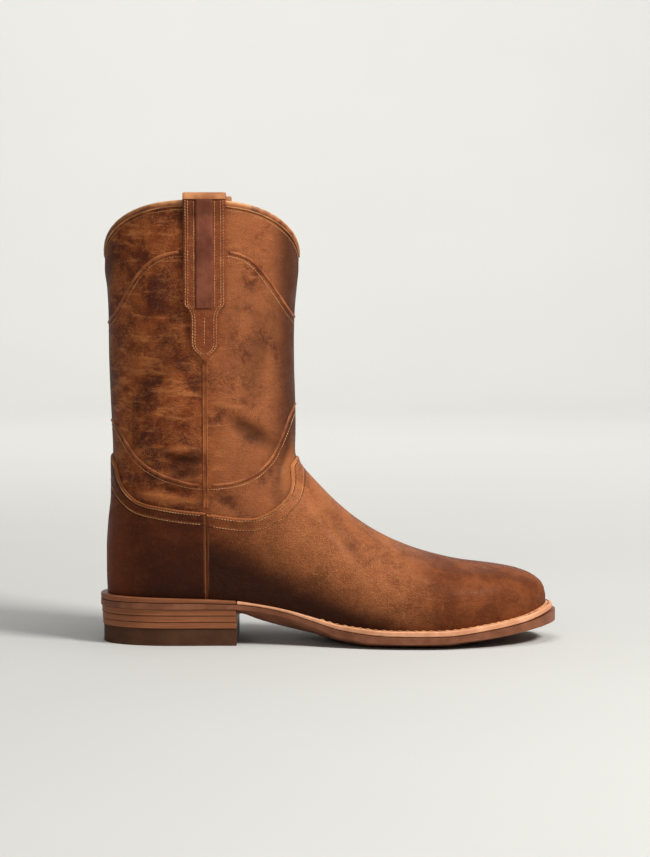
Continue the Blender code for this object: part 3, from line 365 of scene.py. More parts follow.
# Creases: along, up, lean in degrees, half length, half width, depth, side
CREASES = (
    (0.0530, 0.1235, -8.0, 0.0110, 0.0040, -0.0032, OUTER),
    (0.0470, 0.1300, 6.0, 0.0130, 0.0030, 0.0014, OUTER),
    (0.0450, 0.1170, -14.0, 0.0140, 0.0026, -0.0014, OUTER),
    (0.0540, 0.1110, 4.0, 0.0100, 0.0025, 0.0010, OUTER),
    (0.0400, 0.0985, -6.0, 0.0200, 0.0034, 0.0017, OUTER),
    (0.0450, 0.1040, -4.0, 0.0150, 0.0024, -0.0014, OUTER),
    (0.0960, 0.1420, -32.0, 0.0170, 0.0060, -0.0034, OUTER),
    (0.0900, 0.1530, -28.0, 0.0180, 0.0060, 0.0015, OUTER),
    (0.0780, 0.0960, -36.0, 0.0100, 0.0030, -0.0020, OUTER),
    (0.1190, 0.1180, 84.0, 0.0220, 0.0050, 0.0017, OUTER),
    (0.1080, 0.1180, 62.0, 0.0200, 0.0050, -0.0017, OUTER),
    (0.0250, 0.1650, 74.0, 0.0300, 0.0070, -0.0017, OUTER),
    (0.0150, 0.1350, 60.0, 0.0200, 0.0050, 0.0012, OUTER),
    (0.1000, 0.1900, 80.0, 0.0400, 0.0110, -0.0020, OUTER),
    (0.0420, 0.2000, 86.0, 0.0400, 0.0090, -0.0014, OUTER),
    (0.1500, 0.0760, -52.0, 0.0220, 0.0040, -0.0012, OUTER),
    (0.1620, 0.0640, -58.0, 0.0220, 0.0040, -0.0010, OUTER),
    (0.1390, 0.0850, -50.0, 0.0200, 0.0040, 0.0010, OUTER),
    (0.0500, 0.1200, 6.0, 0.0130, 0.0040, -0.0027, INNER),
    (0.0880, 0.1280, -20.0, 0.0160, 0.0050, -0.0027, INNER),
    (0.0400, 0.1330, 12.0, 0.0160, 0.0034, 0.0015, INNER),
    (0.1020, 0.1500, -36.0, 0.0180, 0.0060, 0.0015, INNER),
    (0.1450, 0.0780, -52.0, 0.0220, 0.0040, -0.0014, INNER),
    (0.1580, 0.0660, -56.0, 0.0220, 0.0040, -0.0012, INNER),
)


def crease_depth(points):
    """How far the listed creases move the leather, in or out."""
    total = np.zeros(len(points))
    for x, z, lean, half_length, half_width, depth, side in CREASES:
        turn = math.radians(lean)
        dx, dz = points[:, 0] - x, points[:, 2] - z
        along = (dx * math.cos(turn) + dz * math.sin(turn)) / half_length
        across = (-dx * math.sin(turn) + dz * math.cos(turn)) / half_width
        own_side = 1.0 / (1.0 + np.exp(-points[:, 1] * side / 0.004))
        total += depth * np.exp(-along ** 2 - across ** 2) * own_side
    return total


FOOT_COUNT, SHAFT_COUNT, STEPS = 170, 140, 76
grid = surface_grid(FOOT_COUNT, SHAFT_COUNT, STEPS)
normals = grid_normals(grid)
ROWS, COLS = grid.shape[:2]
closing = FOOT_COUNT - 1
seam_normals = normals[closing:, 0] + normals[closing:, -1]
seam_normals[np.linalg.norm(seam_normals, axis=-1) < 1e-6] = (-1.0, 0.0, 0.0)
seam_normals /= np.linalg.norm(seam_normals, axis=-1, keepdims=True)
normals[closing:, 0] = seam_normals
normals[closing:, -1] = seam_normals
index = np.arange(ROWS * COLS).reshape(ROWS, COLS)
index[closing:, -1] = index[closing:, 0]
base_points = grid.reshape(-1, 3)
base_normals = normals.reshape(-1, 3)
base_dents = crease_depth(base_points)
base_points = base_points + base_normals * base_dents[:, None]
flat_index = index.reshape(-1)
base_faces = [tuple(flat_index[k] for k in face) for face in grid_faces(ROWS, COLS, FOOT_COUNT)]


def add_object(name, mesh, mats, smooth=35.0):
    """A piece of the boot in the row's frame, riding on the one body."""
    made = bpy.data.objects.new(name, mesh)
    bpy.context.scene.collection.objects.link(made)
    for mat in mats:
        mesh.materials.append(mat)
    if smooth:
        mesh.shade_smooth()
        mesh.set_sharp_from_angle(angle=math.radians(smooth))
    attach(made, "root")
    return made


def mesh_of(name, points, faces, attributes=None):
    """Mesh from points in the boot's own frame, moved to the row's, with loose points dropped."""
    faces = [tuple(dict.fromkeys(f)) for f in faces]
    faces = [f for f in faces if len(f) > 2]
    used = np.unique(np.concatenate([np.array(f) for f in faces]))
    new = np.full(len(points), -1)
    new[used] = np.arange(len(used))
    moved = np.asarray(points)[used] - np.array((ORIGIN, 0.0, 0.0))
    mesh = bpy.data.meshes.new(name)
    mesh.from_pydata(moved.tolist(), [], [tuple(int(new[i]) for i in f) for f in faces])
    for label, values in (attributes or {}).items():
        layer = mesh.attributes.new(label, "FLOAT", "POINT")
        layer.data.foreach_set("value", np.asarray(values, np.float32)[used])
    mesh.validate()
    return mesh


def cut_at(points, fields, faces, key, level, keep_all):
    """Splits faces along the line where a field has a level, and drops what lies below it."""
    points = list(map(tuple, points))
    fields = {k: list(v) for k, v in fields.items()}
    field = fields[key]
    made = {}
    result = []

    def between(a, b):
        pair = (min(a, b), max(a, b))
        if pair not in made:
            q = (level - field[a]) / (field[b] - field[a])
            points.append(tuple(points[a][i] + (points[b][i] - points[a][i]) * q for i in range(len(points[a]))))
            for values in fields.values():
                values.append(values[a] + (values[b] - values[a]) * q)
            field[-1] = level
            made[pair] = len(points) - 1
        return made[pair]

    for face in faces:
        above = [field[i] >= level for i in face]
        if all(above):
            result.append(face)
            continue
        if not any(above):
            if keep_all:
                result.append(face)
            continue
        over, under = [], []
        for k, i in enumerate(face):
            j = face[(k + 1) % len(face)]
            (over if above[k] else under).append(i)
            if above[k] != above[(k + 1) % len(face)]:
                m = between(i, j)
                over.append(m)
                under.append(m)
        result.append(tuple(over))
        if keep_all:
            result.append(tuple(under))
    return np.array(points), {k: np.array(v) for k, v in fields.items()}, result


def overlay_skin(outline, edge, top, thickness):
    """Outer face of an overlay: the upper's face cut along a line, with a rounded edge."""
    flat = base_points[:, [0, 2]]
    distance = distance_to(edge, flat)
    signed = np.where(inside_of(outline, flat), distance, -distance)
    both = np.concatenate((base_points, base_normals), 1)
    near = [f for f in base_faces if max(signed[i] for i in f) >= 0.0]
    fields = {"edge": signed, "top": distance_to(top, flat), "dent": base_dents}
    both, fields, faces = cut_at(both, fields, near, "edge", 0.0, False)
    for level in (0.0003, 0.0008, 0.0015):
        both, fields, faces = cut_at(both, fields, faces, "edge", level, True)
    height = OVERLAY_FIT + thickness * quadrant(fields["edge"] / 0.0015, 2.0)
    return both[:, :3] + both[:, 3:] * height[:, None], fields, faces


class Look:
    """A material built from a few node helpers around one Principled shader."""

    def __init__(self, name, roughness, coat=0.0, specular=0.5):
        self.material = bpy.data.materials.new(name)
        self.material.use_nodes = True
        self.tree = self.material.node_tree
        self.shader = self.tree.nodes["Principled BSDF"]
        self.shader.inputs["Roughness"].default_value = roughness
        self.shader.inputs["Coat Weight"].default_value = coat
        self.shader.inputs["Coat Roughness"].default_value = 0.28
        self.shader.inputs["Specular IOR Level"].default_value = specular
        self.place = self.node("ShaderNodeTexCoord").outputs["Object"]

    def node(self, kind, **values):
        made = self.tree.nodes.new(kind)
        for key, value in values.items():
            setattr(made, key, value)
        return made

    def link(self, source, target):
        self.tree.links.new(source, target)

    def feed(self, socket, value):
        if isinstance(value, bpy.types.NodeSocket):
            self.link(value, socket)
        elif isinstance(value, tuple) and len(value) == 3 and socket.type == "RGBA":
            socket.default_value = (*value, 1.0)
        else:
            socket.default_value = value

    def scaled(self, x, y, z, turn=(0.0, 0.0, 0.0)):
        made = self.node("ShaderNodeMapping")
        made.inputs["Scale"].default_value = (x, y, z)
        made.inputs["Rotation"].default_value = turn
        self.link(self.place, made.inputs["Vector"])
        return made.outputs["Vector"]

    def noise(self, scale, detail=3.0, rough=0.55, vector=None, twist=0.0):
        made = self.node("ShaderNodeTexNoise")
        made.inputs["Scale"].default_value = scale
        made.inputs["Detail"].default_value = detail
        made.inputs["Roughness"].default_value = rough
        made.inputs["Distortion"].default_value = twist
        self.link(vector or self.place, made.inputs["Vector"])
        return made.outputs["Fac"]

    def cells(self, scale, feature="DISTANCE_TO_EDGE", vector=None):
        made = self.node("ShaderNodeTexVoronoi", feature=feature)
        made.inputs["Scale"].default_value = scale
        self.link(vector or self.place, made.inputs["Vector"])
        return made.outputs["Distance"]

    def remap(self, value, low, high, to_low=0.0, to_high=1.0, smooth=True):
        made = self.node("ShaderNodeMapRange", interpolation_type="SMOOTHSTEP" if smooth else "LINEAR")
        self.feed(made.inputs["Value"], value)
        for key, number in (("From Min", low), ("From Max", high), ("To Min", to_low), ("To Max", to_high)):
            made.inputs[key].default_value = number
        return made.outputs["Result"]

    def math(self, operation, a, b=0.0):
        made = self.node("ShaderNodeMath", operation=operation)
        self.feed(made.inputs[0], a)
        self.feed(made.inputs[1], b)
        return made.outputs[0]

    def mix(self, share, a, b, blend="MIX"):
        made = self.node("ShaderNodeMix", data_type="RGBA", blend_type=blend)
        self.feed(made.inputs[0], share)
        self.feed(made.inputs[6], a)
        self.feed(made.inputs[7], b)
        return made.outputs[2]

    def attribute(self, name):
        return self.node("ShaderNodeAttribute", attribute_name=name).outputs["Fac"]

    def axis(self, which):
        made = self.node("ShaderNodeSeparateXYZ")
        self.link(self.place, made.inputs[0])
        return made.outputs[which]

    def line_at(self, value, level, half):
        """1 on a line where value is at level, falling to 0 half away."""
        off = self.math("ABSOLUTE", self.math("SUBTRACT", value, level))
        return self.remap(off, 0.0, half, 1.0, 0.0)

    def bump(self, height, distance, strength=1.0):
        made = self.node("ShaderNodeBump")
        made.inputs["Strength"].default_value = strength
        made.inputs["Distance"].default_value = distance
        self.link(height, made.inputs["Height"])
        previous = self.shader.inputs["Normal"].links
        if previous:
            self.link(previous[0].from_socket, made.inputs["Normal"])
        self.link(made.outputs["Normal"], self.shader.inputs["Normal"])

    def colour(self, value):
        self.feed(self.shader.inputs["Base Color"], value)

    def roughness(self, value):
        self.feed(self.shader.inputs["Roughness"], value)


DEEP = (0.020, 0.0050, 0.0020)
PLUM = (0.062, 0.0150, 0.0085)
DARK_BROWN = (0.092, 0.0190, 0.0056)
RED_BROWN = (0.195, 0.0430, 0.0115)
WARM_BROWN = (0.330, 0.0860, 0.0230)
AMBER = (0.500, 0.1700, 0.0540)
TAN = (0.560, 0.2500, 0.0900)
STITCH_TAN = (0.400, 0.1700, 0.0620)
LINING_TAN = (0.420, 0.2550, 0.1350)


def leather_look(name, part, grain_scale, grain_depth, seams):
    """Waxed pull-up leather: mottled browns that lighten where the hide was stretched, with painted shade and painted
    highlights laid into the colour by part and by crease depth.
    """
    look = Look(name, 0.50, coat=0.02, specular=0.08)
    blotch = look.noise(58.0, 7.0, 0.68, twist=0.25)
    cloud = look.noise(21.0, 4.0, 0.60, twist=0.2)
    streak = look.noise(1.0, 8.0, 0.74, look.scaled(60.0, 60.0, 230.0, (0.0, 0.18, 0.0)), twist=0.2)
    upright = look.noise(1.0, 7.0, 0.72, look.scaled(260.0, 260.0, 80.0, (0.0, 0.10, 0.0)), twist=0.2)
    fine = look.noise(520.0, 3.0, 0.7)
    up, along = look.axis(2), look.axis(0)
    base = look.mix(look.remap(cloud, 0.36, 0.62), DARK_BROWN, RED_BROWN)
    base = look.mix(look.math("MULTIPLY", look.remap(blotch, 0.50, 0.36), 0.60), base, PLUM)
    base = look.mix(look.math("MULTIPLY", look.remap(blotch, 0.44, 0.68), 0.70), base, WARM_BROWN)
    pull = look.math("MULTIPLY", look.remap(streak, 0.50, 0.68), look.remap(cloud, 0.40, 0.60))
    base = look.mix(look.math("MULTIPLY", pull, 0.80), base, AMBER)
    worn = look.math("MULTIPLY", look.remap(upright, 0.52, 0.72), look.remap(blotch, 0.44, 0.60))
    base = look.mix(look.math("MULTIPLY", worn, 0.30), base, AMBER)
    grain = look.cells(grain_scale)
    creases = look.remap(grain, 0.0, 0.10, 1.0, 0.0)
    patchy = look.remap(look.noise(48.0, 4.0, 0.6), 0.42, 0.62)
    base = look.mix(look.math("MULTIPLY", look.math("MULTIPLY", creases, patchy), 0.60), base, AMBER)
    crackle = look.remap(look.cells(170.0, vector=look.scaled(1.0, 1.0, 1.9, (0.0, 0.3, 0.0))), 0.0, 0.035, 1.0, 0.0)
    base = look.mix(look.math("MULTIPLY", look.math("MULTIPLY", crackle, patchy), 0.66), base, AMBER)
    base = look.mix(look.math("MULTIPLY", look.remap(fine, 0.53, 0.72), 0.42), base, AMBER)
    base = look.mix(look.math("MULTIPLY", look.remap(fine, 0.45, 0.28), 0.35), base, DARK_BROWN)
    if part == "vamp":
        base = look.mix(0.42, base, (0.200, 0.0560, 0.0170))
        toe = look.remap(along, 0.085, 0.200)
        warm = look.mix(look.remap(blotch, 0.40, 0.62), (0.110, 0.0260, 0.0065), (0.190, 0.0520, 0.0150))
        base = look.mix(look.math("MULTIPLY", toe, 0.74), base, warm)
        # Painted shade: the vamp's low part toward the sole and waist darkens to DEEP.
        slope = look.math("ADD", up, look.math("MULTIPLY", look.math("SUBTRACT", along, 0.050), 0.45))
        base = look.mix(look.math("MULTIPLY", look.remap(slope, 0.082, 0.046), 0.94), base, DEEP)
        ridge = look.math("MULTIPLY", look.remap(along, 0.085, 0.125), look.remap(along, 0.190, 0.160))
        ridge = look.math("MULTIPLY", ridge, look.remap(up, 0.044, 0.062))
        base = look.mix(look.math("MULTIPLY", ridge, 0.45), base, DARK_BROWN)
        # Painted highlight: the vamp's crown is lightened toward tan, and the leather's fine light crackle lines are
        # laid only there.
        crown = look.math("MULTIPLY", look.remap(slope, 0.050, 0.080), look.remap(along, 0.030, 0.085))
        crown = look.math("MULTIPLY", crown, look.remap(along, 0.185, 0.145))
        base = look.mix(look.math("MULTIPLY", crown, look.remap(blotch, 0.30, 0.62, 0.25, 0.80)), base,
                        (0.350, 0.1180, 0.0430))
        lines = look.remap(look.cells(330.0), 0.0, 0.06, 1.0, 0.0)
        base = look.mix(look.math("MULTIPLY", crown, look.math("MULTIPLY", lines, 0.28)), base, TAN)
    elif part == "counter":
        base = look.mix(0.74, base, (0.070, 0.0145, 0.0042))
        # Painted shade: the counter darkens to DEEP low down and toward the side seam.
        low = look.math("MULTIPLY", look.remap(up, 0.104, 0.026), look.remap(along, -0.050, 0.000))
        base = look.mix(look.math("MULTIPLY", low, 0.90), base, DEEP)
        # Painted light: a lighter red-brown patch on the counter's back round, below mid height.
        glow = look.math("MULTIPLY", look.remap(along, -0.016, -0.036), look.remap(up, 0.115, 0.070))
        base = look.mix(look.math("MULTIPLY", glow, 0.30), base, RED_BROWN)
    elif part == "strap":
        base = look.mix(0.55, base, (0.180, 0.0480, 0.0200))
    else:
        front = look.math("MULTIPLY", look.remap(along, 0.012, 0.045), look.remap(blotch, 0.26, 0.52))
        base = look.mix(look.math("MULTIPLY", front, 0.64), base, (0.340, 0.1150, 0.0430))
        rear = look.remap(along, 0.034, 0.010)
        base = look.mix(look.math("MULTIPLY", rear, look.remap(blotch, 0.52, 0.38, 0.0, 0.45)), base, PLUM)
        base = look.mix(look.math("MULTIPLY", rear, look.remap(streak, 0.50, 0.66, 0.0, 0.42)), base, AMBER)
        scuffed = look.math("MULTIPLY", look.remap(up, 0.215, 0.195), look.remap(up, 0.150, 0.172))
        scuffed = look.math("MULTIPLY", scuffed, look.math("MULTIPLY", look.remap(along, 0.030, -0.010),
                                                           look.remap(streak, 0.44, 0.62)))
        base = look.mix(look.math("MULTIPLY", scuffed, 0.42), base, AMBER)
        # Painted shade: the shaft darkens toward its back and front silhouettes, where it turns away from the light.
        edges = look.math("MAXIMUM", look.remap(along, -0.028, -0.048), look.remap(along, 0.064, 0.080))
        base = look.mix(look.math("MULTIPLY", edges, 0.85), base, (0.045, 0.0120, 0.0050))
        # Painted shadow: the deep dent behind the side seam at about ankle height darkens to DEEP.
        dent = look.math("MULTIPLY", look.remap(up, 0.132, 0.118), look.remap(up, 0.104, 0.114))
        dent = look.math("MULTIPLY", dent, look.math("MULTIPLY", look.remap(along, 0.026, 0.018),
                                                     look.remap(along, -0.002, 0.008)))
        base = look.mix(look.math("MULTIPLY", dent, 0.55), base, DEEP)
    # Painted shade in the crease hollows and painted highlight on the crease ridges, by crease depth.
    dent = look.attribute("dent")
    base = look.mix(look.math("MULTIPLY", look.remap(dent, -0.0001, -0.0030), 0.55), base, DEEP)
    base = look.mix(look.math("MULTIPLY", look.remap(dent, 0.0001, 0.0014), 0.50), base, AMBER)
    if seams:
        edge = look.attribute("edge")
        top = look.attribute("top")
        base = look.mix(look.math("MULTIPLY", look.remap(edge, 0.0002, 0.0010, 1.0, 0.0), 0.45), base, AMBER)
        for level, half in seams:
            groove = look.line_at(top, level, half)
            base = look.mix(look.math("MULTIPLY", groove, 0.50), base, DEEP)
            base = look.mix(look.math("MULTIPLY", look.line_at(top, level - 1.6 * half, half), 0.22), base, AMBER)
            look.bump(look.math("MULTIPLY", groove, -1.0), 0.0005, 0.9)
    look.colour(base)
    look.bump(look.remap(grain, 0.0, 0.22), grain_depth, 0.45)
    look.bump(fine, 0.0003, 0.40)
    look.bump(streak, 0.0016, 0.55)
    look.bump(look.noise(60.0, 3.0, 0.5), 0.0012, 0.30)
    look.roughness(look.remap(look.noise(60.0, 4.0, 0.6), 0.3, 0.7, 0.42, 0.62))
    return look.material


def plain_leather_look(name, light, dark, roughness, fine=380.0, coat=0.0):
    look = Look(name, roughness, coat=coat, specular=0.15)
    patches = look.noise(70.0, 4.0, 0.6)
    fibres = look.noise(fine, 3.0, 0.6)
    base = look.mix(look.remap(patches, 0.35, 0.68), dark, light)
    base = look.mix(look.math("MULTIPLY", look.remap(fibres, 0.5, 0.75), 0.4), base, dark)
    look.colour(base)
    look.bump(fibres, 0.0003, 0.6)
    look.roughness(look.remap(patches, 0.3, 0.7, roughness - 0.08, roughness + 0.1))
    return look.material


def rim_look():
    """The rolled rim: pale where it turns over, brown down its outer face."""
    look = Look("rim_leather", 0.5, specular=0.3)
    patches = look.noise(90.0, 4.0, 0.6)
    pale = look.mix(look.remap(patches, 0.35, 0.65), (0.330, 0.1300, 0.0450), (0.600, 0.3000, 0.1200))
    face = look.mix(look.remap(patches, 0.35, 0.65), DARK_BROWN, WARM_BROWN)
    look.colour(look.mix(look.attribute("turn"), face, pale))
    look.bump(look.noise(420.0, 3.0, 0.6), 0.0003, 0.6)
    return look.material


def stack_look(name, light, dark, lines):
    """Edges of pressed leather layers: fine level lines, darker where the layers meet."""
    look = Look(name, 0.46, coat=0.04, specular=0.14)
    fine = look.noise(1.0, 5.0, 0.65, look.scaled(26.0, 26.0, 1500.0))
    wide = look.noise(1.0, 3.0, 0.6, look.scaled(12.0, 12.0, 420.0))
    blotch = look.noise(34.0, 4.0, 0.6)
    base = look.mix(look.remap(fine, 0.30, 0.70), dark, light)
    base = look.mix(look.math("MULTIPLY", look.remap(wide, 0.54, 0.70), 0.45), base, dark)
    base = look.mix(look.math("MULTIPLY", look.remap(blotch, 0.45, 0.75), 0.55), base, dark)
    up = look.axis(2)
    for level in lines:
        base = look.mix(look.math("MULTIPLY", look.line_at(up, level, 0.0005), 0.55), base, DEEP)
    look.colour(base)
    look.bump(fine, 0.0003, 0.5)
    look.bump(wide, 0.0004, 0.35)
    return look.material


def rubber_look():
    look = Look("heel_rubber", 0.62, specular=0.12)
    patches = look.noise(60.0, 4.0, 0.6)
    base = look.mix(look.remap(patches, 0.30, 0.75), (0.062, 0.026, 0.012), (0.088, 0.038, 0.018))
    look.colour(base)
    look.bump(look.noise(300.0, 3.0), 0.0003, 0.6)
    return look.material


def thread_look():
    look = Look("stitch_thread", 0.6, specular=0.2)
    base = look.mix(look.remap(look.noise(120.0, 2.0), 0.35, 0.65), (0.330, 0.1350, 0.0520), (0.640, 0.3300, 0.1450))
    look.colour(base)
    look.bump(look.noise(1.0, 2.0, 0.5, look.scaled(3000.0, 3000.0, 3000.0)), 0.0002, 0.6)
    return look.material


SHAFT_LEATHER = leather_look("shaft_leather", "shaft", 760.0, 0.0005, ())
VAMP_LEATHER = leather_look("vamp_leather", "vamp", 620.0, 0.0008, ((0.0022, 0.0007), (0.0082, 0.0007)))
COUNTER_LEATHER = leather_look("counter_leather", "counter", 700.0, 0.0005, ((0.0022, 0.0007), (0.0082, 0.0007)))
STRAP_LEATHER_LOOK = leather_look("strap_leather", "strap", 620.0, 0.0004, ())
LINING = plain_leather_look("lining_leather", LINING_TAN, (0.300, 0.165, 0.080), 0.62)
TRIM = plain_leather_look("trim_leather", TAN, (0.300, 0.120, 0.045), 0.46, coat=0.15)
RIM_TRIM = rim_look()
PIPING = plain_leather_look("piping_leather", (0.400, 0.1350, 0.0440), (0.180, 0.0470, 0.0170), 0.45)
INSOLE_LOOK = plain_leather_look("outsole_leather", (0.250, 0.0950, 0.0480), (0.160, 0.0560, 0.0270), 0.45, 260.0)
WELT_LOOK = plain_leather_look("welt_leather", (0.760, 0.3850, 0.2200), (0.580, 0.2600, 0.1350), 0.45, 260.0)
SOLE_LOOK = plain_leather_look("outsole_leather", (0.250, 0.0950, 0.0480), (0.160, 0.0560, 0.0270), 0.45, 260.0)
STACK_LOOK = stack_look("stacked_leather", (0.340, 0.1250, 0.0520), (0.210, 0.0680, 0.0270), (0.0157, 0.0199))
RAND_LOOK = stack_look("rand_leather", (0.300, 0.1080, 0.0460), (0.190, 0.0620, 0.0250), ())
RUBBER = rubber_look()
THREAD = thread_look()


SEAM_WELD = 0.0004


def upper_piece():
    """The hollow upper with its creases, leather outside and lining inside."""
    piece = add_object("upper_shaft", mesh_of("upper_shaft", base_points, base_faces, {"dent": base_dents}),
                       (SHAFT_LEATHER, LINING), 0)
    bm = bmesh.new()
    bm.from_mesh(piece.data)
    bmesh.ops.remove_doubles(bm, verts=bm.verts, dist=SEAM_WELD)
    bm.to_mesh(piece.data)
    bm.free()
    piece.data.shade_smooth()
    solid = piece.modifiers.new("wall", "SOLIDIFY")
    solid.thickness = WALL
    solid.offset = -1.0
    solid.material_offset = 1
    solid.material_offset_rim = 1
    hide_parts("upper")
    return piece


def outward(mesh):
    """Turns a skin's faces outwards, away from the middle of the boot."""
    bm = bmesh.new()
    bm.from_mesh(mesh)
    bmesh.ops.recalc_face_normals(bm, faces=bm.faces)
    face = max(bm.faces, key=lambda f: -f.calc_center_median().y)
    if face.normal.y > 0.0:
        bmesh.ops.reverse_faces(bm, faces=bm.faces)
    bm.to_mesh(mesh)
    bm.free()


def overlay_piece(name, node, outline, edge, top, look):
    points, fields, faces = overlay_skin(outline, edge, top, OVERLAY)
    mesh = mesh_of(name, points, faces, fields)
    outward(mesh)
    piece = add_object(name, mesh, (look,), 0)
    mesh.shade_smooth()
    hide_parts(node)
    return piece


def tree_of(piece):
    """Search tree of a piece as it shows, in the row's frame."""
    mesh = piece.data
    points = [v.co.copy() for v in mesh.vertices]
    return BVHTree.FromPolygons(points, [tuple(p.vertices) for p in mesh.polygons])


upper = upper_piece()
outward(upper.data)
vamp = overlay_piece("vamp_overlay", "vamp", vamp_outline, vamp_edge, VAMP_LINE, VAMP_LEATHER)
counter = overlay_piece("counter_overlay", "counter", counter_outline, counter_edge, COUNTER_LINE, COUNTER_LEATHER)
SHAFT_TREE, VAMP_TREE, COUNTER_TREE = tree_of(upper), tree_of(vamp), tree_of(counter)


def lay_on(tree, line, side):
    """Points and outward normals on one side of a skin, under a line of the side view."""
    found = []
    for x, z in line:
        start = Vector((x - ORIGIN, side * 0.2, z))
        hit, normal, face, far = tree.ray_cast(start, Vector((0.0, -side, 0.0)))
        if hit is None:
            continue
        if normal.y * side < 0.0:
            normal = -normal
        found.append((hit, normal.normalized()))
    return found


def spaced(path, pitch, closed=False):
    """Points and normals at an even pitch along a path of points and normals."""
    path = path + path[:1] if closed else path
    result, carried = [], 0.5 * pitch
    for (a, n), (b, m) in zip(path, path[1:]):
        length = (b - a).length
        if length < 1e-9 or length > 0.02:
            continue
        run = (b - a) / length
        while carried < length:
            result.append((a + run * carried, n.lerp(m, carried / length).normalized(), run))
            carried += pitch
        carried -= length
    return result


def dense(line, step=0.0006):
    """The same line with points close together."""
    line = np.asarray(line, float)
    lengths = np.concatenate(([0.0], np.cumsum(np.linalg.norm(np.diff(line, axis=0), axis=1))))
    places = np.arange(0.0, lengths[-1], step)
    return np.stack([np.interp(places, lengths, line[:, k]) for k in (0, 1)], 1)


def offset_line(line, distance):
    """A line of the side view moved to its right by distance."""
    line = dense(line, 0.0012)
    run = np.gradient(line, axis=0)
    run /= np.linalg.norm(run, axis=1, keepdims=True)
    moved = line + np.stack((run[:, 1], -run[:, 0]), 1) * distance
    keep = distance_to(line, moved) > abs(distance) * 0.97
    return moved[keep]


STITCHES = []
STITCH_PITCH, STITCH_LENGTH, STITCH_RADIUS = 0.0019, 0.0014, 0.00032


def stitch_run(path, pitch, length, radius, lift=0.0):
    """Adds rice-grain stitches along a path, each a small round bar half sunk in the leather."""
    for point, normal, run in spaced(path, pitch):
        side = normal.cross(run).normalized()
        STITCHES.append((point + normal * lift, run, side, normal, length, radius))


def stitch_mesh(name, stitches, material_used):
    ring_places = ((-0.5, 0.45), (0.0, 1.0), (0.5, 0.45))
    sides = 5
    points, faces = [], []
    for point, run, side, normal, length, radius in stitches:
        start = len(points)
        for along, fat in ring_places:
            for k in range(sides):
                turn = 2.0 * math.pi * k / sides
                spot = side * math.cos(turn) * radius * fat + normal * math.sin(turn) * radius * fat
                points.append(point + run * along * length + spot)
        for r in range(len(ring_places) - 1):
            for k in range(sides):
                a, b = start + r * sides + k, start + r * sides + (k + 1) % sides
                faces.append((a, b, b + sides, a + sides))
        last = start + (len(ring_places) - 1) * sides
        faces.append(tuple(start + k for k in range(sides - 1, -1, -1)))
        faces.append(tuple(last + k for k in range(sides)))
    mesh = bpy.data.meshes.new(name)
    mesh.from_pydata(points, [], faces)
    return add_object(name, mesh, (material_used,), 60.0)


def sweep_mesh(name, rings, closed):
    """Mesh through equal rings of points."""
    count = len(rings[0])
    points = [p for ring in rings for p in ring]
    faces = []
    last = len(rings) if closed else len(rings) - 1
    for i in range(last):
        a, b = i * count, ((i + 1) % len(rings)) * count
        for k in range(count):
            n = (k + 1) % count
            faces.append((a + k, a + n, b + n, b + k))
    if not closed:
        faces.append(tuple(range(count - 1, -1, -1)))
        faces.append(tuple((len(rings) - 1) * count + k for k in range(count)))
    mesh = bpy.data.meshes.new(name)
    mesh.from_pydata(points, [], faces)
    bm = bmesh.new()
    bm.from_mesh(mesh)
    bmesh.ops.recalc_face_normals(bm, faces=bm.faces)
    bm.to_mesh(mesh)
    bm.free()
    return mesh


def cord_on(name, path, half_width, rise, look, nodes=(), sink=0.0004):
    """A raised seam: a low half-round strip along a path on the leather."""
    profile = ((-1.0, -0.3), (-1.0, 0.25), (-0.7, 0.75), (0.0, 1.0), (0.7, 0.75), (1.0, 0.25), (1.0, -0.3))
    rings = []
    for point, normal, run in path:
        side = normal.cross(run).normalized()
        rings.append([point - normal * sink + side * half_width * a + normal * rise * b for a, b in profile])
    piece = add_object(name, sweep_mesh(name, rings, False), (look,), 60.0)
    if nodes:
        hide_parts(*nodes)
    return piece


def round_path(tree, line, spacing):
    """Path along a side line on the outer side, round the front or back, and home on the inner side."""
    outer = lay_on(tree, dense(line), OUTER)
    inner = lay_on(tree, dense(line), INNER)
    return spaced(outer + inner[::-1], spacing)


def piping(name, line, clear, node):
    """The front and back lengths of an arch, as raised cords; the stitches under it are laid separately."""
    front = line[line[:, 0] > SEAM_AT + clear]
    back = line[line[:, 0] < SEAM_AT - clear][::-1]
    for end, run in (("front", front), ("back", back)):
        path = round_path(SHAFT_TREE, run, 0.0016)
        cord_on("%s_%s" % (name, end), path, 0.00105, 0.0012, PIPING, ("%s_%s" % (node, end),))


piping("arch_top", UPPER_ARCH_LINE, 0.5 * STRAP_WIDTH + FIT, "piping_top")
piping("arch_low", LOWER_ARCH_LINE, 0.5 * SEAM_WIDTH + FIT, "piping_low")

for side_name, side in SIDES:
    arch_in = offset_line(UPPER_ARCH_LINE, 0.0027)
    arch_in = arch_in[np.abs(arch_in[:, 0] - SEAM_AT) > 0.5 * STRAP_WIDTH + 0.001]
    arch_low = offset_line(LOWER_ARCH_LINE, 0.0027)
    arch_low = arch_low[np.abs(arch_low[:, 0] - SEAM_AT) > 0.0045]
    for line in (arch_in, arch_low):
        stitch_run(lay_on(SHAFT_TREE, dense(line), side), STITCH_PITCH, STITCH_LENGTH, STITCH_RADIUS)
    for distance in (0.0022, 0.0082):
        vamp_line = offset_line(VAMP_LINE, distance)
        vamp_line = vamp_line[vamp_line[:, 0] > SEAM_AT + 0.0035]
        stitch_run(lay_on(VAMP_TREE, dense(vamp_line), side), STITCH_PITCH, STITCH_LENGTH, STITCH_RADIUS)
        counter_line = offset_line(COUNTER_LINE, distance)
        counter_line = counter_line[counter_line[:, 0] < SEAM_AT - 0.0030]
        stitch_run(lay_on(COUNTER_TREE, dense(counter_line), side), STITCH_PITCH, STITCH_LENGTH, STITCH_RADIUS)


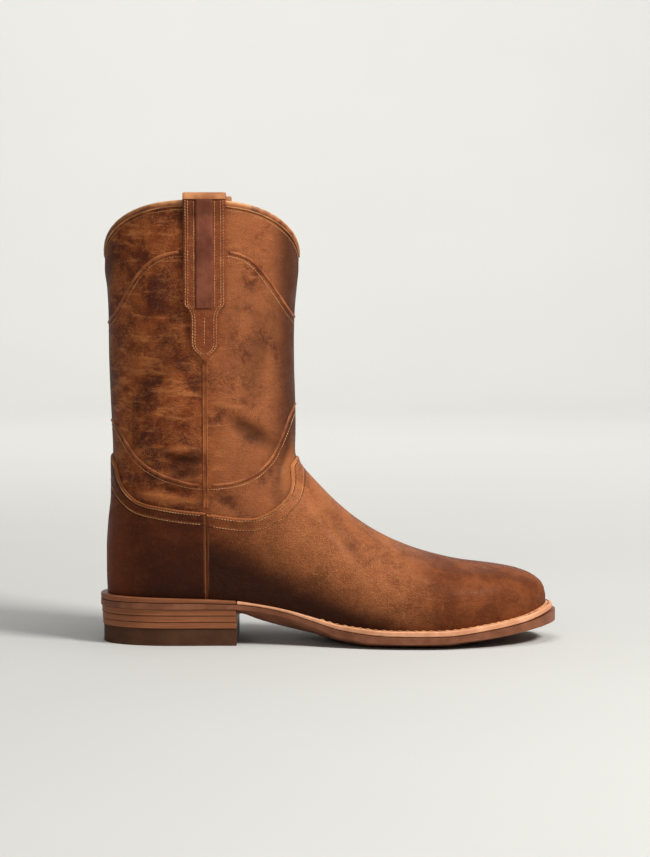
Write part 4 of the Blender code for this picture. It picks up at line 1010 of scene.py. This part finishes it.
def seam_strips():
    """The raised strip on each side of the shaft, and the fine double ridge under it."""
    low = COUNTER_TOP[-2][1] * THROAT + 0.0006
    high = STRAP_POINT + 0.004
    half = 0.5 * SEAM_WIDTH
    for name, side in SIDES:
        middle = spaced(lay_on(SHAFT_TREE, dense([(SEAM_AT, high), (SEAM_AT, low)]), side), 0.0016)
        cord_on("seam_strip_" + name, middle, half, 0.0007, SEAM_LEATHER, ("side_seam_" + name,))
        for end, place in ((-1.0, "back"), (1.0, "front")):
            x = SEAM_AT + end * (half - 0.0006)
            line = dense([(x, high), (x, low)])
            cord_on("seam_roll_%s_%s" % (name, place), spaced(lay_on(SHAFT_TREE, line, side), 0.0016),
                    0.00045, 0.00105, PIPING)
            tree = COUNTER_TREE if end < 0.0 else VAMP_TREE
            ridge = dense([(SEAM_AT + end * 0.0015, low - 0.003), (SEAM_AT + end * 0.0013, HEEL_SEAT + 0.0015)])
            cord_on("seam_ridge_%s_%s" % (name, place), spaced(lay_on(tree, ridge, side), 0.0016),
                    0.0006, 0.0005, RIDGE)


SEAM_LEATHER = plain_leather_look("seam_leather", (0.330, 0.1050, 0.0340), (0.130, 0.0340, 0.0130), 0.5)
RIDGE = plain_leather_look("ridge_leather", (0.150, 0.0420, 0.0150), (0.050, 0.0130, 0.0060), 0.5)
seam_strips()


def collar_frames():
    """Rim points with the ways out and down along the fine collar ring."""
    ring, under = (grid[row] - np.array((ORIGIN, 0.0, 0.0)) for row in (-1, -8))
    lengths = np.concatenate(([0.0], np.cumsum(np.linalg.norm(np.diff(ring, axis=0), axis=1))))
    count = 260
    places = lengths[-1] * np.arange(count) / count
    ring, under = (np.stack([np.interp(places, lengths, r[:, k]) for k in range(3)], 1) for r in (ring, under))
    frames = []
    for i in range(count):
        along = Vector(ring[(i + 1) % count] - ring[i - 1]).normalized()
        down = Vector(under[i] - ring[i])
        down = (down - along * down.dot(along)).normalized()
        out = along.cross(down).normalized()
        if out.dot(Vector((ring[i][0] - 0.5 * SHAFT_DEPTH + ORIGIN, ring[i][1], 0.0))) < 0.0:
            out = -out
        frames.append((Vector(ring[i]), out, down, along))
    return frames


def collar_pieces():
    """The rolled binding over the rim, the thin cord under it and a row of stitches."""
    frames = collar_frames()
    ease, leather, reach = 0.0002, 0.0006, 0.0024
    face, back = ease + leather, -WALL - ease
    section = (
        (face, reach, 0.0), (face + 0.0002, 0.5 * reach, 0.25), (face, -0.0001, 0.75), (0.6 * face, -0.8 * face, 1.0),
        (0.0, -1.1 * face, 1.0), (0.5 * back, -1.2 * face, 1.0), (back, -0.8 * face, 1.0),
        (back - leather, 0.0, 0.8), (back - leather, reach, 0.3), (back, reach, 0.3), (back, 0.0, 0.3),
        (ease, 0.0, 0.3), (ease, reach, 0.0),
    )
    rings = [[p + out * o + down * d for o, d, turn in section] for p, out, down, along in frames]
    mesh = sweep_mesh("collar_roll", rings, True)
    turn = mesh.attributes.new("turn", "FLOAT", "POINT")
    turn.data.foreach_set("value", [t for ring in rings for o, d, t in section])
    roll = add_object("collar_roll", mesh, (RIM_TRIM,), 50.0)
    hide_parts("collar_binding")
    cord = []
    for p, out, down, along in frames:
        turns = [math.pi * k / 4.0 for k in range(8)]
        centre = p + down * (reach + 0.0005) + out * 0.0003
        cord.append([centre + out * 0.0006 * math.cos(a) + down * 0.0005 * math.sin(a) for a in turns])
    add_object("collar_cord", sweep_mesh("collar_cord", cord, True), (TRIM,), 80.0)
    loop = [(p + down * 0.0052, out) for p, out, down, along in frames]
    snapped = []
    for p, out in loop:
        hit, normal, face_at, far = SHAFT_TREE.find_nearest(p)
        snapped.append((hit, out))
    stitch_run(snapped + snapped[:1], STITCH_PITCH, STITCH_LENGTH, STITCH_RADIUS)


collar_pieces()


def shaft_side(x, z):
    """Distance of the shaft's face from the middle plane."""
    front, back = front_line(z), back_line(z)
    crown = quadrant((front - x) / (front - back) * 2.0, HEEL_FULLNESS)
    return float(body_half(x, z, OUTER) * crown)


collar_low, collar_high = SHAFT_DEPTH * SHAFT_ROWS[-1][0], SHAFT_DEPTH * SHAFT_ROWS[-1][1]
RIM = DIP_HEIGHT + SCALLOP_DEPTH * float(scallop((SEAM_AT - collar_low) / (collar_high - collar_low)))


def strap_rows():
    """Rows of the strap from its point over the collar: height, half width, stand off."""
    near = 1.3 * FIT
    far = BINDING_EASE + BINDING_LEATHER + 2.0 * FIT
    tail, wide = 0.5 * STRAP_TAIL_WIDTH, 0.5 * STRAP_WIDTH
    rows = []
    for up, tail_share, wide_share in STRAP_OUTLINE:
        rows.append((STRAP_POINT + up * STRAP_TAIL_RISE, tail * tail_share + (wide - tail) * wide_share, near))
    shoulder = STRAP_POINT + STRAP_TAIL_RISE
    for share in (0.15, 0.35, 0.55, 0.75, 0.92):
        rows.append((shoulder + share * (RIM - 2.0 * BINDING_REACH - shoulder), wide, near))
    rows.append((RIM - 2.0 * BINDING_REACH, wide, near + 0.6 * (far - near)))
    rows.append((RIM - 0.7 * BINDING_REACH, wide, far))
    rows.append((RIM, wide, far))
    for turn in (0.25, 0.5, 0.75):
        angle = math.pi * turn
        reach = far + 0.5 * WALL
        rows.append((RIM + STRAP_LOOP_RISE * math.sin(angle), wide, -0.5 * WALL + reach * math.cos(angle)))
    for drop, stand in ((0.0, far), (0.7 * BINDING_REACH, far), (2.0 * BINDING_REACH, near + 0.6 * (far - near)),
                        (0.5 * STRAP_INSIDE_DROP, near), (STRAP_INSIDE_DROP, near)):
        rows.append((RIM - drop, wide, -WALL - stand))
    rows = curve_through(rows, 5)
    run = np.gradient(rows, axis=0)
    length = np.hypot(run[:, 0], run[:, 2])
    return np.column_stack((rows, -run[:, 2] / length, run[:, 0] / length))


def strap_spot(side, x, row, rise):
    """A point over the strap's row, raised square to its face, also round the loop's top."""
    z, half, stand, up, out = row
    return Vector((x - ORIGIN, side * (shaft_side(x, min(z, RIM)) + stand + out * rise), z + up * rise))


def strap_mesh(name, side, rows, width_of, lift, thickness, columns=13):
    """A strip of the strap with a rounded outer face, closed all round."""
    points, edges, faces = [], [], []
    shares = [math.sin(0.5 * math.pi * (2.0 * k / (columns - 1) - 1.0)) for k in range(columns)]
    for row in rows:
        wide = width_of(row[1])
        for layer in (0.0, 1.0):
            for c in shares:
                crown = quadrant((1.0 - abs(c)) * wide / 0.0012, 2.0)
                rise = lift + thickness * (layer * (0.55 + 0.45 * float(crown)))
                points.append(strap_spot(side, SEAM_AT + c * wide, row, rise))
                edges.append((1.0 - abs(c)) * wide)
    step = 2 * columns
    for i in range(len(rows) - 1):
        a, b = i * step, (i + 1) * step
        for k in range(columns - 1):
            faces.append((a + k, a + k + 1, b + k + 1, b + k))
            faces.append((a + columns + k, b + columns + k, b + columns + k + 1, a + columns + k + 1))
        for k in (0, columns - 1):
            faces.append((a + k, b + k, b + columns + k, a + columns + k))
    for a in (0, (len(rows) - 1) * step):
        for k in range(columns - 1):
            faces.append((a + k, a + k + 1, a + columns + k + 1, a + columns + k))
    mesh = bpy.data.meshes.new(name)
    mesh.from_pydata(points, [], faces)
    layer = mesh.attributes.new("edge", "FLOAT", "POINT")
    layer.data.foreach_set("value", edges)
    bm = bmesh.new()
    bm.from_mesh(mesh)
    bmesh.ops.recalc_face_normals(bm, faces=bm.faces)
    bm.to_mesh(mesh)
    bm.free()
    return mesh


def strap_pieces():
    """Each pull strap with its narrow centre strip and its rows of stitches."""
    rows = strap_rows()
    shoulder = STRAP_POINT + STRAP_TAIL_RISE
    top = int(np.argmax(rows[:, 0]))
    for name, side in SIDES:
        mesh = strap_mesh("strap_" + name, side, rows, lambda half: half, 0.0, STRAP_LEATHER)
        strap = add_object("strap_" + name, mesh, (STRAP_LEATHER_LOOK,), 50.0)
        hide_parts("pull_strap_" + name)
        first = int(np.argmax(rows[:, 0] > shoulder - 0.003))
        middle = rows[first:top - 6]
        mesh = strap_mesh("strap_strip_" + name, side, middle, lambda half: 0.0054, STRAP_LEATHER, 0.0009)
        add_object("strap_strip_" + name, mesh, (STRIP_LOOK,), 50.0)
        # The fold over the collar gets a lighter copy of the strap leather: painted light on its upward face.
        fold = rows[top - 9:top + 9]
        mesh = strap_mesh("strap_fold_" + name, side, fold, lambda half: 0.5 * STRAP_WIDTH, STRAP_LEATHER + 0.0002, 0.0008)
        add_object("strap_fold_" + name, mesh, (LIT_FOLD_LOOK,), 50.0)
        strap_stitches(side, rows, top, shoulder)


def strap_stitches(side, rows, top, shoulder):
    """Rows of stitches along the strap's edges, beside its centre strip and down its tail."""
    outward_way = Vector((0.0, side, 0.0))
    for end in (-1.0, 1.0):
        for inset in (0.0017, 0.0033):
            path = [(strap_spot(side, SEAM_AT + end * (row[1] - inset), row, STRAP_LEATHER), outward_way)
                    for row in rows[3:top - 9] if row[1] > inset + 0.0015]
            stitch_run(path, STITCH_PITCH, STITCH_LENGTH, STITCH_RADIUS)
        path = [(strap_spot(side, SEAM_AT + end * 0.0067, row, STRAP_LEATHER), outward_way)
                for row in rows[:top - 9] if row[0] > shoulder - 0.002]
        stitch_run(path, STITCH_PITCH, STITCH_LENGTH, STITCH_RADIUS)
    low, high = STRAP_POINT + 0.30 * STRAP_TAIL_RISE, STRAP_POINT + 0.80 * STRAP_TAIL_RISE
    path = [(strap_spot(side, SEAM_AT, row, STRAP_LEATHER), outward_way) for row in rows if low < row[0] < high]
    path = path[:len(path) // 2 + 1] if path[0][0].z > path[-1][0].z else path
    stitch_run(path, STITCH_PITCH, STITCH_LENGTH, STITCH_RADIUS)


STRIP_LOOK = plain_leather_look("strip_leather", (0.215, 0.0640, 0.0330), (0.120, 0.0330, 0.0170), 0.5)
# Lighter copy of the strap leather for the fold: painted light.
LIT_FOLD_LOOK = plain_leather_look("lit_fold_leather", (0.470, 0.2000, 0.0780), (0.280, 0.0950, 0.0340), 0.5)
strap_pieces()


def plan_point(turn):
    """Feather line in plan: a full turn from the heel's back along the outer side and home."""
    x = 0.5 * FOOT_LENGTH * (1.0 - math.cos(turn))
    side = OUTER if math.sin(turn) >= 0.0 else INNER
    along = x / FOOT_LENGTH
    heel = quadrant(x / HEEL_ROUND, HEEL_FULLNESS)
    toe = quadrant((FOOT_LENGTH - x) / TOE_ROUND, TOE_FULLNESS)
    return Vector((x, float(plan_centre(along) + side * plan_half[side](along) * heel * toe), 0.0))


def sole_point(turn, margin):
    """Feather line moved outwards by margin at the same turn."""
    tiny = 0.02
    here = plan_point(turn)
    run = (plan_point(turn + tiny) - plan_point(turn - tiny)).normalized()
    out = Vector((-run.y, run.x, 0.0))
    if out.dot(here - Vector((0.5 * FOOT_LENGTH, 0.0, 0.0))) < 0.0:
        out = -out
    return here + out * margin


def turn_at(x):
    return math.acos(1.0 - 2.0 * x / FOOT_LENGTH)


def turns_between(start, stop, count):
    return [start + (stop - start) * i / count for i in range(count + 1)]


def layer_bottom(x):
    return float(seat_height(x) - FIT - welt_layer(x / FOOT_LENGTH))


def edge_margin(x):
    return float(sole_margin(x / FOOT_LENGTH))


SLAB_COLUMNS = (-1.0, -0.93, -0.8, -0.66, -0.5, -0.25, 0.0, 0.25, 0.5, 0.66, 0.8, 0.93, 1.0)


def slab(turns, margin, top, bottom, front=1.0):
    """Closed sole layer between a top and a bottom surface."""
    bm = bmesh.new()
    tops, bottoms = [], []
    for turn in turns:
        x = plan_point(turn).x
        left, right = sole_point(turn, margin(x)), sole_point(2.0 * math.pi - turn, margin(x))
        row = [left + (right - left) * 0.5 * (1.0 + c) for c in SLAB_COLUMNS]
        spots = [(min(p.x, front) - ORIGIN, p.y, c) for p, c in zip(row, SLAB_COLUMNS)]
        tops.append([bm.verts.new((px, py, top(x, c))) for px, py, c in spots])
        bottoms.append([bm.verts.new((px, py, bottom(x, c))) for px, py, c in spots])
    last = len(SLAB_COLUMNS) - 1
    for i in range(len(turns) - 1):
        for k in range(last):
            bm.faces.new((tops[i][k], tops[i + 1][k], tops[i + 1][k + 1], tops[i][k + 1]))
            bm.faces.new((bottoms[i][k], bottoms[i][k + 1], bottoms[i + 1][k + 1], bottoms[i + 1][k]))
        for k in (0, last):
            bm.faces.new((tops[i][k], bottoms[i][k], bottoms[i + 1][k], tops[i + 1][k]))
    for i in (0, len(turns) - 1):
        for k in range(last):
            bm.faces.new((tops[i][k], tops[i][k + 1], bottoms[i][k + 1], bottoms[i][k]))
    bmesh.ops.remove_doubles(bm, verts=bm.verts, dist=1e-6)
    bmesh.ops.dissolve_degenerate(bm, edges=bm.edges, dist=1e-6)
    bmesh.ops.recalc_face_normals(bm, faces=bm.faces)
    return bm


def sole_piece(name, bm, look, node, round_edge):
    mesh = bpy.data.meshes.new(name)
    bm.to_mesh(mesh)
    bm.free()
    piece = add_object(name, mesh, (look,), 40.0)
    bevel = piece.modifiers.new("round", "BEVEL")
    bevel.width = round_edge
    bevel.segments = 3
    bevel.limit_method = "ANGLE"
    bevel.angle_limit = math.radians(45.0)
    bevel.harden_normals = True
    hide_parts(node)
    return piece


def band(turns):
    """Flat band under the upper's edge, from the sole's edge in to the wall."""
    rings = []
    for turn in turns:
        x = plan_point(turn).x
        outer, inner = sole_point(turn, edge_margin(x)), sole_point(turn, -WALL)
        top, low = float(seat_height(x)) - FIT, layer_bottom(x)
        rings.append([Vector((outer.x - ORIGIN, outer.y, top)), Vector((outer.x - ORIGIN, outer.y, low)),
                      Vector((inner.x - ORIGIN, inner.y, low)), Vector((inner.x - ORIGIN, inner.y, top))])
    bm = bmesh.new()
    bm.from_mesh(sweep_mesh("band", rings, False))
    return bm


def tread(x, c):
    """Underside of the outsole: flat over the heel, rounded at the waist, flat at the ball."""
    if x < HEEL_BREAST + 2.0 * FIT:
        return HEEL_TOP + FIT
    along = x / FOOT_LENGTH
    flat, edge, keel = float(tread_flat(along)), float(tread_edge(along)), float(tread_keel(along))
    return keel + (edge - keel) * (max(0.0, abs(c) - flat) / (1.0 - flat)) ** 2


def sole_pieces():
    start = turn_at(HEEL_BREAST + FIT)
    sole_piece("welt_edge", band(turns_between(start, 2.0 * math.pi - start, 200)), WELT_LOOK,
               "welt", 0.0012)
    stop = turn_at(HEEL_BREAST - FIT)
    sole_piece("rand_edge", band(turns_between(-stop, stop, 90)), RAND_LOOK, "heel_rand", 0.0007)
    sole_piece("sock_lining", slab(turns_between(0.0, math.pi, 90), lambda x: -WALL - 0.0014,
                                   lambda x, c: float(seat_height(x)) + 0.0008, lambda x, c: layer_bottom(x)),
               INSOLE_LOOK, "insole", 0.0002)
    behind = turns_between(0.0, turn_at(HEEL_BREAST + FIT), 40)
    ahead = turns_between(turn_at(HEEL_BREAST + 3.0 * FIT), math.pi, 100)

    def margin(x):
        return edge_margin(x) + TOE_EDGE_SWELL * float(smooth_step((x / FOOT_LENGTH - 0.85) / 0.15))

    sole_piece("sole_edge", slab(behind + ahead, margin, lambda x, c: layer_bottom(x) - FIT, tread), SOLE_LOOK,
               "outsole", 0.0012)
    lift = (HEEL_TOP - HEEL_CAP_HEIGHT) / 3.0
    layers = [("cap_tread", "heel_cap", 0.0, HEEL_CAP_HEIGHT, RUBBER, "heel_rubber", 0.0016)]
    for i in range(3):
        layers.append(("stack_layer_%d" % (i + 1), "heel_lift_%d" % (i + 1), HEEL_CAP_HEIGHT + i * lift + FIT,
                       HEEL_CAP_HEIGHT + (i + 1) * lift, STACK_LOOK, "stack_leather", 0.0003))
    for name, node, low, high, look, slot_name, rounding in layers:
        taper = HEEL_TAPER * (1.0 - low / HEEL_SEAT)
        bm = slab(turns_between(0.0, turn_at(HEEL_BREAST), 60), lambda x: edge_margin(x) - taper,
                  lambda x, c: high, lambda x, c: low, HEEL_BREAST)
        sole_piece(name, bm, look, node, rounding)


sole_pieces()

WELT_STITCH_START = 0.1403
welt_turn = turn_at(WELT_STITCH_START)
welt_path = []
for turn in turns_between(welt_turn, 2.0 * math.pi - welt_turn, 240):
    spot = sole_point(turn, 0.68 * edge_margin(plan_point(turn).x))
    height = float(seat_height(plan_point(turn).x)) - FIT
    welt_path.append((Vector((spot.x - ORIGIN, spot.y, height)), Vector((0.0, 0.0, 1.0))))
welt_stitches = []
for point, normal, run in spaced(welt_path, 0.0052):
    welt_stitches.append((point, run, normal.cross(run).normalized(), normal, 0.0038, 0.00085))
stitch_mesh("welt_stitches", welt_stitches, THREAD)
stitch_mesh("upper_stitches", STITCHES, THREAD)


def backdrop():
    """A pale studio sweep: floor that curves up to a wall far behind."""
    turns = [math.radians(90.0) * k / 16.0 for k in range(17)]
    back, lift_radius, wide, near, tall = 2.6, 1.4, 7.0, -5.0, 5.5
    profile = [(near, 0.0), (0.4 * near, 0.0), (0.0, 0.0), (0.5 * back, 0.0)]
    profile += [(back + lift_radius * math.sin(a), lift_radius * (1.0 - math.cos(a))) for a in turns]
    profile.append((back + lift_radius, tall))
    points = [(x, y, z) for y, z in profile for x in (-wide, wide)]
    faces = [(2 * i, 2 * i + 1, 2 * i + 3, 2 * i + 2) for i in range(len(profile) - 1)]
    mesh = bpy.data.meshes.new("studio_floor")
    mesh.from_pydata(points, [], faces)
    mesh.shade_smooth()
    floor = bpy.data.objects.new("studio_floor", mesh)
    bpy.context.scene.collection.objects.link(floor)
    look = Look("studio_paper", 0.95, specular=0.1)
    look.colour(look.mix(look.remap(look.noise(3.0, 2.0), 0.3, 0.7), (0.515, 0.512, 0.490), (0.522, 0.519, 0.497)))
    mesh.materials.append(look.material)


def area_light(name, place, target, size, power, colour=(1.0, 1.0, 1.0)):
    data = bpy.data.lights.new(name, "AREA")
    data.shape = "RECTANGLE"
    data.size, data.size_y = size
    data.energy = power
    data.color = colour
    lamp = bpy.data.objects.new(name, data)
    bpy.context.scene.collection.objects.link(lamp)
    lamp.location = place
    lamp.rotation_euler = (Vector(target) - Vector(place)).to_track_quat("-Z", "Y").to_euler()


backdrop()
area_light("key", (1.3, -0.85, 1.45), (0.08, 0.0, 0.12), (0.5, 0.5), 46.0, (1.0, 0.98, 0.96))
area_light("front_fill", (-0.9, -2.2, 1.3), (0.08, 0.0, 0.12), (1.2, 1.0), 7.0)
area_light("overhead", (0.1, -0.3, 2.3), (0.08, 0.0, 0.0), (1.4, 1.0), 24.0)
area_light("wall_wash", (0.0, 1.2, 2.6), (0.0, 4.2, 1.2), (5.0, 1.0), 170.0)
world = bpy.data.worlds.new("studio")
bpy.context.scene.world = world
world.use_nodes = True
world.node_tree.nodes["Background"].inputs["Color"].default_value = (1.0, 0.995, 0.985, 1.0)
world.node_tree.nodes["Background"].inputs["Strength"].default_value = 0.14

camera_data = bpy.data.cameras.new("photo_view")
camera_data.sensor_fit = "HORIZONTAL"
camera_data.sensor_width = 36.0
camera_data.lens = 137.2
camera = bpy.data.objects.new("photo_view", camera_data)
bpy.context.scene.collection.objects.link(camera)
camera.location = (0.10315, -1.650, 0.250)
camera.rotation_euler = (math.radians(90.0) - math.atan2(0.250 - 0.1414, 1.650), 0.0, 0.0)
bpy.context.scene.camera = camera
bpy.context.scene.view_settings.view_transform = "Standard"
